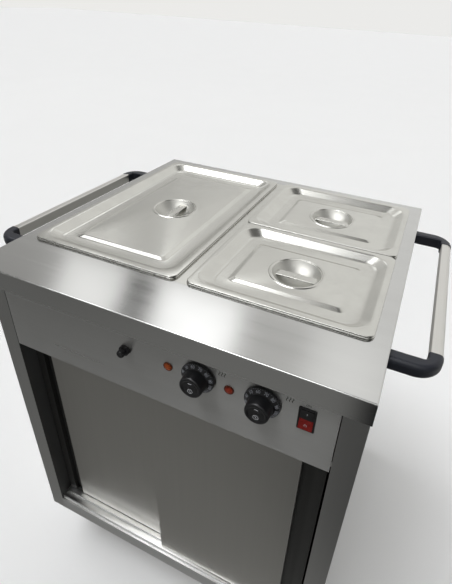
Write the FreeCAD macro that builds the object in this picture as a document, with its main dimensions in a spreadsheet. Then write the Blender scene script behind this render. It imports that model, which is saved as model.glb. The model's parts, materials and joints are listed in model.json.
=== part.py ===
import FreeCAD, Part
import math
import os
from types import SimpleNamespace

import Sketcher

# Hostess trolley: a heated cabinet on castors with three lidded food pans let into its top.
# X runs to the right, Y to the back and Z up. The origin is on the floor, at the middle of
# the whole trolley's footprint. Every length is in millimetres, every angle in degrees.

DIMENSIONS = {
    # worktop
    "top_width": 718,
    "top_depth": 674,
    "top_height": 900,
    "top_gauge": 1.5,
    "top_edge_radius": 2,
    "flange_height": 40,
    "front_land": 115,
    "rear_land": 29,
    "side_land": 25,
    # pans and lids
    "pan_gap": 18,
    "pan_play": 0.5,
    "pan_gauge": 0.8,
    "pan_drop": 150,
    "pan_draft": 9,
    "pan_rim_flat": 10.5,
    "pan_rim_lip": 2.5,
    "pan_corner": 14,
    "pan_wall_corner": 34,
    "rim_overlap": 9,
    "seat_gap": 0.2,
    "lid_inset": 0.6,
    "lid_gauge": 0.8,
    "lid_lip": 2.6,
    "lid_flat": 11,
    "lid_slope": 19,
    "lid_step": 13,
    "lid_floor": 25,
    "lid_panel_slope": 9,
    "lid_panel_rise": 4,
    "lid_step_corner": 26,
    "lid_panel_corner": 9,
    "dish_radius": 46,
    "dish_depth": 23,
    "bead_radius": 2.4,
    "bead_offset": 3.9,
    "bead_sunk": 1,
    "grip_width": 19,
    "grip_thick": 3,
    "grip_drop": 6,
    # well below the pans
    "well_depth": 176,
    "well_gauge": 1.2,
    "well_flange": 12,
    "well_corner": 8,
    "divider_leg": 18,
    "divider_play": 0.3,
    # cabinet
    "front_setback": 19,
    "post_width": 39,
    "panel_gauge": 1.2,
    "panel_drop": 190,
    "panel_slit": 1.5,
    "panel_hem": 4,
    "base_height": 130,
    "rail_height": 40,
    "rear_return": 22,
    "jamb_depth": 48,
    "gusset_size": 104,
    "gusset_gauge": 3,
    "liner_top": 700,
    "liner_back": 40,
    "shelf_height": 432,
    "shelf_lip": 14,
    "shelf_play": 2,
    "angle_width": 16,
    # sliding doors
    "door_gauge": 1,
    "door_thick": 14,
    "door_setback": 8,
    "door_pitch": 22,
    "door_overlap": 36,
    "door_edge_gap": 4,
    "grip_rim": 19,
    "pull_width": 22,
    "pull_depth": 10,
    "track_height": 12,
    "track_front": 4,
    "groove_width": 10,
    "groove_depth": 8,
    "glide_play": 0.3,
    "glide_length": 30,
    "glide_inset": 36,
    "door_lift": 3,
    # control panel
    "row_drop": 95,
    "dial_drop": 90.5,
    "reset_drop": 93.5,
    "reset_inset": 368.5,
    "well_light_inset": 284,
    "well_dial_inset": 226.7,
    "cupboard_light_inset": 173.5,
    "cupboard_dial_inset": 117,
    "switch_inset": 48.3,
    "dial_radius": 29.3,
    "dial_edge": 4.5,
    "dial_skirt": 8,
    "dial_stand": 1.5,
    "knob_radius": 20.3,
    "knob_draft": 0.8,
    "knob_bevel": 2.5,
    "knob_dish": 1,
    "dial_reach": 29.5,
    "spindle_radius": 3,
    "spindle_length": 22,
    "shaft_play": 0.05,
    "light_radius": 8.5,
    "light_stem": 6,
    "light_rim": 2,
    "light_dome": 3,
    "light_body": 24,
    "light_chamfer": 1,
    "light_lip": 2.2,
    "light_lens": 3.4,
    "light_crown": 0.6,
    "light_tip": 0.8,
    "reset_nut": 9.8,
    "reset_nut_length": 6.5,
    "reset_collar": 8.4,
    "reset_cap": 7,
    "reset_reach": 16.5,
    "reset_travel": 3,
    "reset_sleeve": 3,
    "reset_chamfer": 1,
    "switch_width": 27.2,
    "switch_height": 46,
    "switch_rim": 2,
    "switch_wall": 2.2,
    "switch_body": 26,
    "rocker_play": 0.4,
    "rocker_axis": 3,
    "rocker_keel": 3,
    "rocker_heel": 1,
    "rocker_tilt": 7,
    "thermostat_size": 36,
    "thermostat_depth": 34,
    "hole_play": 0.3,
    # push handles
    "handle_set": 106,
    "handle_span": 462,
    "handle_drop": 12,
    "handle_height": 24,
    "handle_arm": 24.5,
    "handle_reach": 76,
    "handle_width": 22.5,
    "bar_width": 20,
    "bar_shoulder": 0.5,
    "bar_wall": 3,
    "bar_outer_radius": 9,
    "bar_inner_radius": 2.5,
    "bar_groove": 0.6,
    "handle_sleeve": 18.5,
    "handle_turn": 40,
    "handle_inner_turn": 7,
    "handle_round": 8,
    "handle_inner_round": 4,
    "spigot_length": 14,
    "spigot_play": 0.3,
    "screw_radius": 4,
    "screw_head": 7,
    "screw_head_height": 4,
    "screw_bite": 14,
    # castors
    "castor_inset_x": 84,
    "castor_inset_y": 84,
    "wheel_radius": 50,
    "wheel_width": 30,
    "hub_width": 34,
    "tread_round": 6,
    "tread_crown": 1.5,
    "tread_shoulder": 4,
    "tread_side": 9,
    "rim_depth": 13,
    "rim_lip": 11,
    "rim_set": 2,
    "web_set": 7,
    "hub_wall": 6,
    "hub_foot": 7,
    "castor_trail": 32,
    "axle_radius": 5,
    "axle_head": 3,
    "plate_length": 96,
    "plate_width": 78,
    "plate_gauge": 3,
    "race_radius": 26,
    "race_height": 9,
    "race_gap": 0.4,
    "fork_gauge": 3,
    "fork_gap": 2,
    "fork_half": 25,
    "fork_eye": 12,
    "kingpin_radius": 6,
    "pedal_reach": 40,
    "pedal_width": 30,
    "pedal_thick": 4,
    "pedal_forward": 36,
    "pedal_rise": 46,
    "pedal_pin": 3,
    "pedal_pin_end": 1,
    "pedal_drop": 9,
    "brake_reach": 7.2,
    "ear_radius": 7,
    # heating and wiring
    "element_radius": 4,
    "element_spread": 180,
    "well_element_inset": 50,
    "cupboard_element_inset": 90,
    "cupboard_element_rise": 12,
    "clip_width": 6,
    "clip_end": 12,
    "clip_lap": 2,
    "terminal_width": 16,
    "terminal_length": 60,
    "terminal_height": 22,
    "gland_inset": 107.5,
    "gland_rise": 100,
    "gland_radius": 11,
    "gland_bore": 4,
    "gland_reach": 14,
    "gland_nut": 5,
    "gland_wall": 3,
    "gland_thread": 4,
    "gland_taper": 2,
    "gland_tip": 3.5,
    "gland_tip_length": 3,
    "rivet_radius": 3.5,
    "rivet_height": 1.2,
    "rivet_inset": 12,
}

RIVETS_UP = 5
RIVETS_ACROSS = 4
BAR_GROOVE_ANGLES = (30, 50, 70)

doc = FreeCAD.newDocument("HostessTrolley")
sheet = doc.addObject("Spreadsheet::Sheet", "Sizes")
parts = []


# ---------------------------------------------------------------- sizes

class Size:
    """A length that carries its number and the sheet expression that it comes from."""

    def __init__(self, value, text):
        self.value = value
        self.text = text

    @staticmethod
    def of(other):
        return other if isinstance(other, Size) else Size(float(other), repr(float(other)))

    def joined(self, sign, other, value):
        return Size(value, "(" + self.text + " " + sign + " " + Size.of(other).text + ")")

    def __add__(self, other):
        return self.joined("+", other, self.value + Size.of(other).value)

    def __sub__(self, other):
        return self.joined("-", other, self.value - Size.of(other).value)

    def __mul__(self, other):
        return self.joined("*", other, self.value * Size.of(other).value)

    def __truediv__(self, other):
        return self.joined("/", other, self.value / Size.of(other).value)

    def __radd__(self, other):
        return Size.of(other) + self

    def __rsub__(self, other):
        return Size.of(other) - self

    def __rmul__(self, other):
        return Size.of(other) * self

    def __neg__(self):
        return Size(-self.value, "(0 - " + self.text + ")")

    def sine(self):
        return Size(math.sin(math.radians(self.value)), "sin(" + self.text + ")")

    def tangent(self):
        return Size(math.tan(math.radians(self.value)), "tan(" + self.text + ")")


def fill_sheet():
    """Write each dimension into the sheet and hand it back under its own name."""
    named = {}
    for row, (name, value) in enumerate(DIMENSIONS.items(), start=1):
        sheet.set("A%d" % row, name)
        sheet.set("B%d" % row, str(value))
        sheet.setAlias("B%d" % row, name)
        named[name] = Size(float(value), "Sizes." + name)
    doc.recompute()
    return SimpleNamespace(**named)


def bind(thing, prop, size):
    thing.setExpression(prop, Size.of(size).text)


S = fill_sheet()


# ---------------------------------------------------------------- modelling helpers

PLANES = {"XY": ("XY_Plane", 1), "XZ": ("XZ_Plane", -1), "YZ": ("YZ_Plane", 1)}
TURNS = {
    "X": FreeCAD.Rotation(FreeCAD.Vector(0, 1, 0), 90),
    "Y": FreeCAD.Rotation(FreeCAD.Vector(1, 0, 0), -90),
    "-Y": FreeCAD.Rotation(FreeCAD.Vector(1, 0, 0), 90),
    "Z": FreeCAD.Rotation(),
}


def new(kind, name):
    return doc.addObject(kind, name)


def place(thing, x, y, z, axis="Z"):
    """Put a shape's own origin at x, y, z with its own Z along the named axis."""
    thing.Placement = FreeCAD.Placement(FreeCAD.Vector(), TURNS[axis])
    bind(thing, "Placement.Base.x", x)
    bind(thing, "Placement.Base.y", y)
    bind(thing, "Placement.Base.z", z)
    return thing


def box(name, x, y, z):
    """A block given by its low and high place on each axis."""
    block = new("Part::Box", name)
    bind(block, "Length", Size.of(x[1]) - x[0])
    bind(block, "Width", Size.of(y[1]) - y[0])
    bind(block, "Height", Size.of(z[1]) - z[0])
    return place(block, x[0], y[0], z[0])


def rod(name, axis, radius, start, length):
    """A cylinder from the point start along an axis."""
    cylinder = new("Part::Cylinder", name)
    bind(cylinder, "Radius", radius)
    bind(cylinder, "Height", length)
    return place(cylinder, *start, axis)


def cut(name, base, *tools):
    for number, tool in enumerate(tools):
        last = number == len(tools) - 1
        result = new("Part::Cut", name if last else "%s_cut_%d" % (name, number))
        result.Base = base
        result.Tool = tool
        base = result
    return base


def fuse(name, *shapes):
    result = new("Part::MultiFuse", name)
    result.Shapes = list(shapes)
    return result


def group(name, *shapes):
    result = new("Part::Compound", name)
    result.Links = list(shapes)
    return result


def finish(thing, label):
    """Name a finished piece, which is then checked and exported."""
    thing.Label = label
    parts.append(thing)
    return thing


def open_sketch(body, name, plane, offset):
    role = PLANES[plane][0]
    sketch = body.newObject("Sketcher::SketchObject", name)
    support = [item for item in body.Origin.OriginFeatures if item.Role == role][0]
    sketch.AttachmentSupport = (support, [""])
    sketch.MapMode = "FlatFace"
    bind(sketch, "AttachmentOffset.Base.z", offset)
    return sketch


def drive(sketch, kind, geometry, point, size):
    """Fix one coordinate of a sketch point from the sketch's origin."""
    size = Size.of(size)
    number = sketch.addConstraint(Sketcher.Constraint(kind, -1, 1, geometry, point, size.value))
    sketch.setExpression("Constraints[%d]" % number, size.text)


def polygon(points):
    """An outline of straight edges through points given in the sketch's two axes."""
    def draw(sketch):
        corners = [FreeCAD.Vector(Size.of(a).value, Size.of(b).value, 0) for a, b in points]
        count = len(corners)
        for i in range(count):
            sketch.addGeometry(Part.LineSegment(corners[i], corners[(i + 1) % count]), False)
        for i in range(count):
            sketch.addConstraint(Sketcher.Constraint("Coincident", i, 2, (i + 1) % count, 1))
        for i, (a, b) in enumerate(points):
            drive(sketch, "DistanceX", i, 1, a)
            drive(sketch, "DistanceY", i, 1, b)
    return draw


def rectangle(x, y):
    return polygon([(x[0], y[0]), (x[1], y[0]), (x[1], y[1]), (x[0], y[1])])


def rounded(x, y, radius):
    """A rectangle with round corners, given by its low and high place on each axis."""
    def draw(sketch):
        x0, x1, y0, y1, r = (Size.of(v).value for v in (*x, *y, radius))
        sides = (((x0 + r, y0), (x1 - r, y0)), ((x1, y0 + r), (x1, y1 - r)),
                 ((x1 - r, y1), (x0 + r, y1)), ((x0, y1 - r), (x0, y0 + r)))
        centres = ((x1 - r, y0 + r), (x1 - r, y1 - r), (x0 + r, y1 - r), (x0 + r, y0 + r))
        for a, b in sides:
            sketch.addGeometry(Part.LineSegment(FreeCAD.Vector(*a, 0), FreeCAD.Vector(*b, 0)), False)
        for quarter, centre in enumerate(centres):
            circle = Part.Circle(FreeCAD.Vector(*centre, 0), FreeCAD.Vector(0, 0, 1), r)
            start = math.radians(90 * quarter - 90)
            sketch.addGeometry(Part.ArcOfCircle(circle, start, start + math.pi / 2), False)
        for side in range(4):
            sketch.addConstraint(Sketcher.Constraint("Tangent", side, 2, 4 + side, 1))
            sketch.addConstraint(Sketcher.Constraint("Tangent", 4 + side, 2, (side + 1) % 4, 1))
            sketch.addConstraint(Sketcher.Constraint("Vertical" if side % 2 else "Horizontal", side))
        for arc in (5, 6, 7):
            sketch.addConstraint(Sketcher.Constraint("Equal", 4, arc))
        number = sketch.addConstraint(Sketcher.Constraint("Radius", 4, r))
        sketch.setExpression("Constraints[%d]" % number, Size.of(radius).text)
        drive(sketch, "DistanceX", 4, 3, x[1] - radius)
        drive(sketch, "DistanceY", 4, 3, y[0] + radius)
        drive(sketch, "DistanceX", 6, 3, x[0] + radius)
        drive(sketch, "DistanceY", 6, 3, y[1] - radius)
    return draw


def grown(span, amount):
    """The low and high place of a span moved outwards by an amount."""
    return (Size.of(span[0]) - amount, Size.of(span[1]) + amount)


def pad(body, name, plane, outline, span):
    """Add material between the low and high places of span along the plane's normal."""
    forward = PLANES[plane][1] > 0
    sketch = open_sketch(body, name + "_outline", plane, span[0] if forward else -Size.of(span[1]))
    outline(sketch)
    feature = body.newObject("PartDesign::Pad", name)
    feature.Profile = sketch
    bind(feature, "Length", Size.of(span[1]) - span[0])
    body.Tip = feature
    return feature


def pocket(body, name, plane, outline, span):
    """Remove material between the low and high places of span along the plane's normal."""
    forward = PLANES[plane][1] > 0
    sketch = open_sketch(body, name + "_outline", plane, span[1] if forward else -Size.of(span[0]))
    outline(sketch)
    feature = body.newObject("PartDesign::Pocket", name)
    feature.Profile = sketch
    bind(feature, "Length", Size.of(span[1]) - span[0])
    body.Tip = feature
    return feature


def loft(body, name, kind, upper, upper_z, lower, lower_z):
    """A straight-sided loft between two level outlines, added to the body or cut from it."""
    top = open_sketch(body, name + "_upper", "XY", upper_z)
    upper(top)
    bottom = open_sketch(body, name + "_lower", "XY", lower_z)
    lower(bottom)
    feature = body.newObject("PartDesign::" + kind, name)
    feature.Profile = top
    feature.Sections = [bottom]
    feature.Ruled = True
    body.Tip = feature
    return feature


def padded(name, plane, outline, span):
    body = new("PartDesign::Body", name)
    pad(body, name + "_pad", plane, outline, span)
    return body


def turned(name, points):
    """A solid of revolution about its own Z, from a profile of (radius, height) points."""
    body = new("PartDesign::Body", name)
    sketch = open_sketch(body, name + "_profile", "XZ", 0)
    polygon(points)(sketch)
    feature = body.newObject("PartDesign::Revolution", name + "_turn")
    feature.Profile = sketch
    feature.ReferenceAxis = (sketch, ["V_Axis"])
    feature.Angle = 360
    body.Tip = feature
    return body


def round_edges(body, name, radius, wanted):
    """Fillet the edges of the body's last feature that a test picks by their place."""
    doc.recompute()
    base = body.Tip
    picked = ["Edge%d" % (i + 1) for i, edge in enumerate(base.Shape.Edges) if wanted(edge)]
    feature = body.newObject("PartDesign::Fillet", name)
    feature.Base = (base, picked)
    bind(feature, "Radius", radius)
    body.Tip = feature
    return feature


def lies_at(edge, **places):
    """Whether both ends and the middle of an edge have the given coordinates."""
    tolerance = 0.01
    middle = (edge.FirstParameter + edge.LastParameter) / 2
    points = [vertex.Point for vertex in edge.Vertexes] + [edge.valueAt(middle)]
    return all(abs(getattr(point, axis) - Size.of(place_).value) < tolerance
               for axis, place_ in places.items() for point in points)


def folded(path, gauge):
    """The closed outline of a sheet folded along square corners, its gauge on the left."""
    def heading(a, b):
        dx = Size.of(b[0]).value - Size.of(a[0]).value
        dy = Size.of(b[1]).value - Size.of(a[1]).value
        return (0, 0 if dx == 0 else int(math.copysign(1, dx))) if dy == 0 else (-int(math.copysign(1, dy)), 0)

    normals = [heading(a, b) for a, b in zip(path, path[1:])]
    inner = []
    for i, (x, y) in enumerate(path):
        sides = normals[max(i - 1, 0):i + 1] if i < len(path) - 1 else normals[-1:]
        shift_x = sum(side[0] for side in sides)
        shift_y = sum(side[1] for side in sides)
        inner.append((x + shift_x * gauge, y + shift_y * gauge))
    return polygon(list(path) + inner[::-1])


def mirrored(side, span):
    """A span measured outwards from the middle, on the left (-1) or the right (1)."""
    return (span[0], span[1]) if side > 0 else (-Size.of(span[1]), -Size.of(span[0]))


# ---------------------------------------------------------------- shared places

half_width = S.top_width / 2
dial_proud = S.dial_reach - S.front_setback
rear_proud = S.gland_reach - S.top_gauge
front_y = (dial_proud - rear_proud - S.top_depth) / 2
back_y = front_y + S.top_depth
body_y = front_y + S.front_setback
back_face = back_y - S.top_gauge
side_x = half_width - S.top_gauge
jamb_x = half_width - S.post_width
top_z = S.top_height
skin_z = top_z - S.top_gauge
panel_z = top_z - S.panel_drop
rail_z = S.base_height + S.rail_height
row_z = top_z - S.row_drop
dial_z = top_z - S.dial_drop
reset_z = top_z - S.reset_drop
reset_x = jamb_x - S.reset_inset
well_light_x = jamb_x - S.well_light_inset
well_dial_x = jamb_x - S.well_dial_inset
cupboard_light_x = jamb_x - S.cupboard_light_inset
cupboard_dial_x = jamb_x - S.cupboard_dial_inset
switch_x = jamb_x - S.switch_inset
gland_x = side_x - S.gland_inset
gland_z = S.base_height + S.gland_rise

# the pans are of the standard catering sizes, 325 x 530 and 325 x 265
cell_left = -half_width + S.side_land
cell_right = half_width - S.side_land
cell_front = front_y + S.front_land
cell_back = back_y - S.rear_land
cell_middle = (cell_front + cell_back) / 2
divider_x = (-S.pan_gap / 2, S.pan_gap / 2)
full_cell = ((cell_left, divider_x[0]), (cell_front, cell_back))
front_cell = ((divider_x[1], cell_right), (cell_front, cell_middle))
rear_cell = ((divider_x[1], cell_right), (cell_middle, cell_back))

opening_x = (cell_left + S.rim_overlap, cell_right - S.rim_overlap)
opening_y = (cell_front + S.rim_overlap, cell_back - S.rim_overlap)
pan_seat_z = top_z + S.seat_gap
pan_rim_z = pan_seat_z + S.pan_rim_lip
lid_seat_z = pan_rim_z + S.seat_gap
lid_z = lid_seat_z + S.lid_lip
lid_panel_z = lid_z - S.lid_step + S.lid_panel_rise

handle_z = (top_z - S.handle_drop - S.handle_height, top_z - S.handle_drop)
handle_front = front_y + S.handle_set
handle_back = handle_front + S.handle_span
handle_screw_z = (handle_z[0] + handle_z[1]) / 2
bar_out = half_width + S.handle_reach - S.bar_shoulder
bar_x = (bar_out - S.bar_width, bar_out)
bar_z = (handle_z[0] + S.bar_shoulder, handle_z[1] - S.bar_shoulder)
bar_y = (handle_front + S.handle_arm + S.handle_sleeve, handle_back - S.handle_arm - S.handle_sleeve)

castor_x = half_width - S.castor_inset_x
castor_front = body_y + S.castor_inset_y
castor_rear = back_y - S.castor_inset_y
CASTORS = (("front_left", -castor_x, castor_front), ("front_right", castor_x, castor_front),
           ("rear_left", -castor_x, castor_rear), ("rear_right", castor_x, castor_rear))
BRACKETS = (("left_front", -1, 1), ("left_rear", -1, -1), ("right_front", 1, 1), ("right_rear", 1, -1))


def arm_middle(facing):
    """Y of the middle of a handle arm, front (1) or rear (-1)."""
    return handle_front + S.handle_arm / 2 if facing > 0 else handle_back - S.handle_arm / 2


def screw_holes(name, side):
    """The two clearance holes for a handle's screws, through flange and side panel."""
    x = mirrored(side, (side_x - 2 * S.panel_gauge, half_width + S.panel_gauge))
    return [rod("%s_hole_%d" % (name, end), "X", S.screw_radius + S.hole_play,
                (x[0], arm_middle(facing), handle_screw_z), Size.of(x[1]) - x[0])
            for end, facing in enumerate((1, -1))]


# ---------------------------------------------------------------- worktop and well

def make_top():
    """The worktop: a shallow folded cap with one opening for all three pans."""
    body = new("PartDesign::Body", "top")
    pad(body, "top_block", "XY", rectangle((-half_width, half_width), (front_y, back_y)),
        (top_z - S.flange_height, top_z))
    round_edges(body, "top_fold", S.top_edge_radius, lambda edge: lies_at(edge, z=top_z))
    pocket(body, "top_inside", "XY",
           rectangle((-side_x, side_x), (front_y + S.top_gauge, back_face)),
           (top_z - S.flange_height, skin_z))
    pocket(body, "top_opening", "XY", rounded(opening_x, opening_y, S.well_corner),
           (skin_z, top_z))
    notch_x = (divider_x[0] - S.rim_overlap, divider_x[1] + S.rim_overlap)
    pocket(body, "top_notch", "XY", rectangle(notch_x, (cell_front, cell_back)), (skin_z, top_z))
    holes = screw_holes("top_left", -1) + screw_holes("top_right", 1)
    finish(cut("top_plate_cut", body, *holes), "top_plate")


def make_well():
    """The heated well: a tank whose flange is fixed under the worktop."""
    body = new("PartDesign::Body", "well")
    outer_x = grown(opening_x, S.well_gauge)
    outer_y = grown(opening_y, S.well_gauge)
    corner = S.well_corner + S.well_gauge
    bottom = top_z - S.well_depth
    pad(body, "well_walls", "XY", rounded(outer_x, outer_y, corner),
        (bottom - S.well_gauge, skin_z))
    pad(body, "well_rim", "XY",
        rounded(grown(outer_x, S.well_flange), grown(outer_y, S.well_flange), corner),
        (skin_z - S.well_gauge, skin_z))
    pocket(body, "well_inside", "XY", rounded(opening_x, opening_y, S.well_corner),
           (bottom, skin_z))
    finish(body, "well_tank")


def make_divider():
    """The lift-out bar between the long pan and the two half pans."""
    x = (divider_x[0] - S.rim_overlap + S.divider_play, divider_x[1] + S.rim_overlap - S.divider_play)
    y = grown((cell_front, cell_back), -S.divider_play)
    leg_y = grown(opening_y, -4 * S.divider_play)
    skin = box("divider_skin", x, y, (skin_z, top_z))
    legs = [box("divider_leg_left", (x[0], x[0] + S.top_gauge), leg_y, (skin_z - S.divider_leg, skin_z)),
            box("divider_leg_right", (x[1] - S.top_gauge, x[1]), leg_y, (skin_z - S.divider_leg, skin_z))]
    finish(fuse("divider", skin, *legs), "divider_bar")


def make_pan(name, cell):
    """A food pan: a flat turned-down rim round a tapered bin."""
    x = grown(cell[0], -S.pan_play)
    y = grown(cell[1], -S.pan_play)
    body = new("PartDesign::Body", name)
    pad(body, name + "_rim", "XY", rounded(x, y, S.pan_corner), (pan_seat_z, pan_rim_z))
    pocket(body, name + "_rim_hollow", "XY",
           rounded(grown(x, -S.pan_gauge), grown(y, -S.pan_gauge), S.pan_corner - S.pan_gauge),
           (pan_seat_z, pan_rim_z - S.pan_gauge))
    bottom = pan_rim_z - S.pan_drop

    def level(inset):
        return rounded(grown(x, -inset), grown(y, -inset), S.pan_wall_corner - inset / 2)

    wall = S.pan_rim_flat
    foot = S.pan_rim_flat + S.pan_draft
    loft(body, name + "_bin", "AdditiveLoft", level(wall), pan_rim_z - S.pan_gauge / 2, level(foot), bottom)
    loft(body, name + "_inside", "SubtractiveLoft", level(wall + S.pan_gauge), pan_rim_z,
         level(foot + S.pan_gauge), bottom + S.pan_gauge)
    finish(body, name)


def make_lid(name, cell, grip_along):
    """A pressed lid: rim, sunk floor, raised panel and a round dish crossed by a grip."""
    x = grown(cell[0], -(S.pan_play + S.lid_inset))
    y = grown(cell[1], -(S.pan_play + S.lid_inset))
    gauge = S.lid_gauge
    corner = S.pan_corner
    floor_z = lid_z - S.lid_step
    body = new("PartDesign::Body", name + "_sheet")
    pad(body, name + "_rim", "XY", rounded(x, y, corner), (lid_seat_z, lid_z))
    pocket(body, name + "_rim_hollow", "XY", rounded(grown(x, -gauge), grown(y, -gauge), corner - gauge),
           (lid_seat_z, lid_z - gauge))

    def level(inset, radius):
        return rounded(grown(x, -inset), grown(y, -inset), radius)

    step = S.lid_step_corner
    sunk = S.lid_flat + S.lid_slope
    loft(body, name + "_step", "AdditiveLoft", level(S.lid_flat - gauge, step), lid_z - gauge,
         level(sunk - gauge, step - S.lid_slope / 4), floor_z - gauge)
    loft(body, name + "_step_inside", "SubtractiveLoft", level(S.lid_flat, step), lid_z,
         level(sunk, step - S.lid_slope / 4), floor_z)
    raised = sunk + S.lid_floor
    crest = raised + S.lid_panel_slope
    loft(body, name + "_panel", "AdditiveLoft", level(crest, S.lid_panel_corner), lid_panel_z,
         level(raised, S.lid_panel_corner), floor_z - gauge / 2)
    loft(body, name + "_panel_inside", "SubtractiveLoft", level(crest + gauge, S.lid_panel_corner),
         lid_panel_z - gauge, level(raised + gauge, S.lid_panel_corner), floor_z - gauge)

    centre_x = (cell[0][0] + cell[0][1]) / 2
    centre_y = (cell[1][0] + cell[1][1]) / 2
    sphere_radius = (S.dish_radius * S.dish_radius + S.dish_depth * S.dish_depth) / (2 * S.dish_depth)
    sphere_z = lid_panel_z - S.dish_depth + sphere_radius

    def ball(suffix, radius):
        sphere = new("Part::Sphere", name + suffix)
        bind(sphere, "Radius", radius)
        return place(sphere, centre_x, centre_y, sphere_z)

    dish_outer = ball("_dish_outer", sphere_radius + gauge)
    dish_plug = rod(name + "_dish_plug", "Z", S.dish_radius + 2 * gauge,
                    (centre_x, centre_y, lid_panel_z - S.dish_depth - 2 * gauge),
                    S.dish_depth + 1.5 * gauge)
    dish = new("Part::Common", name + "_dish")
    dish.Base = dish_plug
    dish.Tool = dish_outer
    bead = new("Part::Torus", name + "_bead")
    bind(bead, "Radius1", S.dish_radius + S.bead_offset)
    bind(bead, "Radius2", S.bead_radius)
    place(bead, centre_x, centre_y, lid_panel_z - S.bead_sunk)
    finish(cut(name + "_pressed", fuse(name + "_shell", body, dish, bead),
               ball("_dish_inner", sphere_radius)), name)

    half = S.grip_width / 2
    across = grown((centre_y, centre_y) if grip_along == "X" else (centre_x, centre_x), half)
    along = grown((centre_x, centre_x) if grip_along == "X" else (centre_y, centre_y), S.dish_radius)
    strap_x, strap_y = (along, across) if grip_along == "X" else (across, along)
    grip_z = lid_panel_z - S.grip_drop
    strap = box(name + "_strap", strap_x, strap_y, (grip_z - S.grip_thick, grip_z))
    grip = new("Part::Common", name + "_grip_trim")
    grip.Base = strap
    grip.Tool = ball("_grip_ball", sphere_radius)
    finish(grip, name + "_grip")


# ---------------------------------------------------------------- cabinet

def make_side(label, side):
    """A side panel: one sheet folded round the front post, its jamb and the rear return."""
    back = back_face - S.panel_gauge
    path = [(side_x - S.rear_return, back), (side_x, back), (side_x, body_y), (jamb_x, body_y),
            (jamb_x, body_y + S.jamb_depth)]
    if side < 0:
        path = [(-x, y) for x, y in path]
        outline = folded(path, S.panel_gauge)
    else:
        outline = folded(path[::-1], S.panel_gauge)
    sheet_body = padded(label + "_sheet", "XY", outline, (S.base_height, skin_z))
    finish(cut(label + "_cut", sheet_body, *screw_holes(label, side)), label)


def make_back():
    """The back panel, lying on the side panels' returns, with the hole for the gland."""
    plate = box("back_plate", (-side_x, side_x), (back_face - S.panel_gauge, back_face),
                (S.base_height, skin_z))
    hole = rod("back_hole", "Y", S.gland_bore + S.gland_wall + S.hole_play,
               (gland_x, back_face - 2 * S.panel_gauge, gland_z), 3 * S.panel_gauge)
    finish(cut("back_cut", plate, hole), "back_panel")


def make_base():
    """The base: a tray turned upside down, with corner gussets for the castors."""
    body = new("PartDesign::Body", "base")
    inner_x = side_x - S.panel_gauge
    rear = back_face - 2 * S.panel_gauge
    jamb_back = body_y + S.jamb_depth
    outline = [(-jamb_x, body_y), (jamb_x, body_y), (jamb_x, jamb_back), (inner_x, jamb_back),
               (inner_x, rear), (-inner_x, rear), (-inner_x, jamb_back), (-jamb_x, jamb_back)]
    inset = S.panel_gauge
    hollow = [(-jamb_x + inset, body_y + inset), (jamb_x - inset, body_y + inset),
              (jamb_x - inset, jamb_back + inset), (inner_x - inset, jamb_back + inset),
              (inner_x - inset, rear - inset), (-inner_x + inset, rear - inset),
              (-inner_x + inset, jamb_back + inset), (-jamb_x + inset, jamb_back + inset)]
    pad(body, "base_block", "XY", polygon(outline), (S.base_height, rail_z))
    pocket(body, "base_hollow", "XY", polygon(hollow), (S.base_height, rail_z - S.panel_gauge))
    reach = S.gusset_size / 2
    for side in (-1, 1):
        for end, wall, y in (("front", jamb_x, (body_y, castor_front + reach)),
                             ("rear", inner_x, (castor_rear - reach, rear))):
            pad(body, "base_gusset_%s_%d" % (end, side + 1), "XY",
                rectangle(mirrored(side, (castor_x - reach, wall)), y),
                (S.base_height, S.base_height + S.gusset_gauge))
    finish(body, "base_tray")


def make_liner():
    """The cupboard's inner lining, open at the front."""
    front = body_y + S.jamb_depth
    back = back_face - S.liner_back
    outer = box("liner_outer", (-jamb_x, jamb_x), (front, back), (rail_z, S.liner_top))
    inner = box("liner_inner", grown((-jamb_x, jamb_x), -S.panel_gauge), (front - 1, back - S.panel_gauge),
                grown((rail_z, S.liner_top), -S.panel_gauge))
    finish(cut("liner", outer, inner), "cupboard_liner")

    wall = jamb_x - S.panel_gauge
    run = (front + S.angle_width, back - S.angle_width)
    angles = []
    for side in (-1, 1):
        ledge = box("ledge_%d" % (side + 1), mirrored(side, (wall - S.angle_width, wall)), run,
                    (S.shelf_height - S.panel_gauge, S.shelf_height))
        web = box("web_%d" % (side + 1), mirrored(side, (wall - S.panel_gauge, wall)), run,
                  (S.shelf_height - S.angle_width, S.shelf_height))
        angles.append(fuse("angle_%d" % (side + 1), ledge, web))
    finish(group("angles", *angles), "shelf_supports")

    shelf_x = grown((-wall, wall), -S.shelf_play)
    lip_x = grown(shelf_x, -S.angle_width)
    plate = box("shelf_plate", shelf_x, run, (S.shelf_height, S.shelf_height + S.panel_gauge))
    lips = [box("shelf_lip_front", lip_x, (run[0], run[0] + S.panel_gauge),
                (S.shelf_height - S.shelf_lip, S.shelf_height)),
            box("shelf_lip_back", lip_x, (run[1] - S.panel_gauge, run[1]),
                (S.shelf_height - S.shelf_lip, S.shelf_height))]
    finish(fuse("shelf", plate, *lips), "cupboard_shelf")


# ---------------------------------------------------------------- doors

door_z = (rail_z + S.track_height + S.door_lift, panel_z + S.door_lift * 2)
upper_track_z = (door_z[1] + S.door_lift, door_z[1] + S.door_lift + S.track_height)


def door_front(row):
    """Y of a door's front face, in the front (0) or the rear (1) groove."""
    return body_y + S.door_setback + row * S.door_pitch


def groove(row):
    middle = door_front(row) + S.door_thick / 2
    return grown((middle, middle), S.groove_width / 2)


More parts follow.
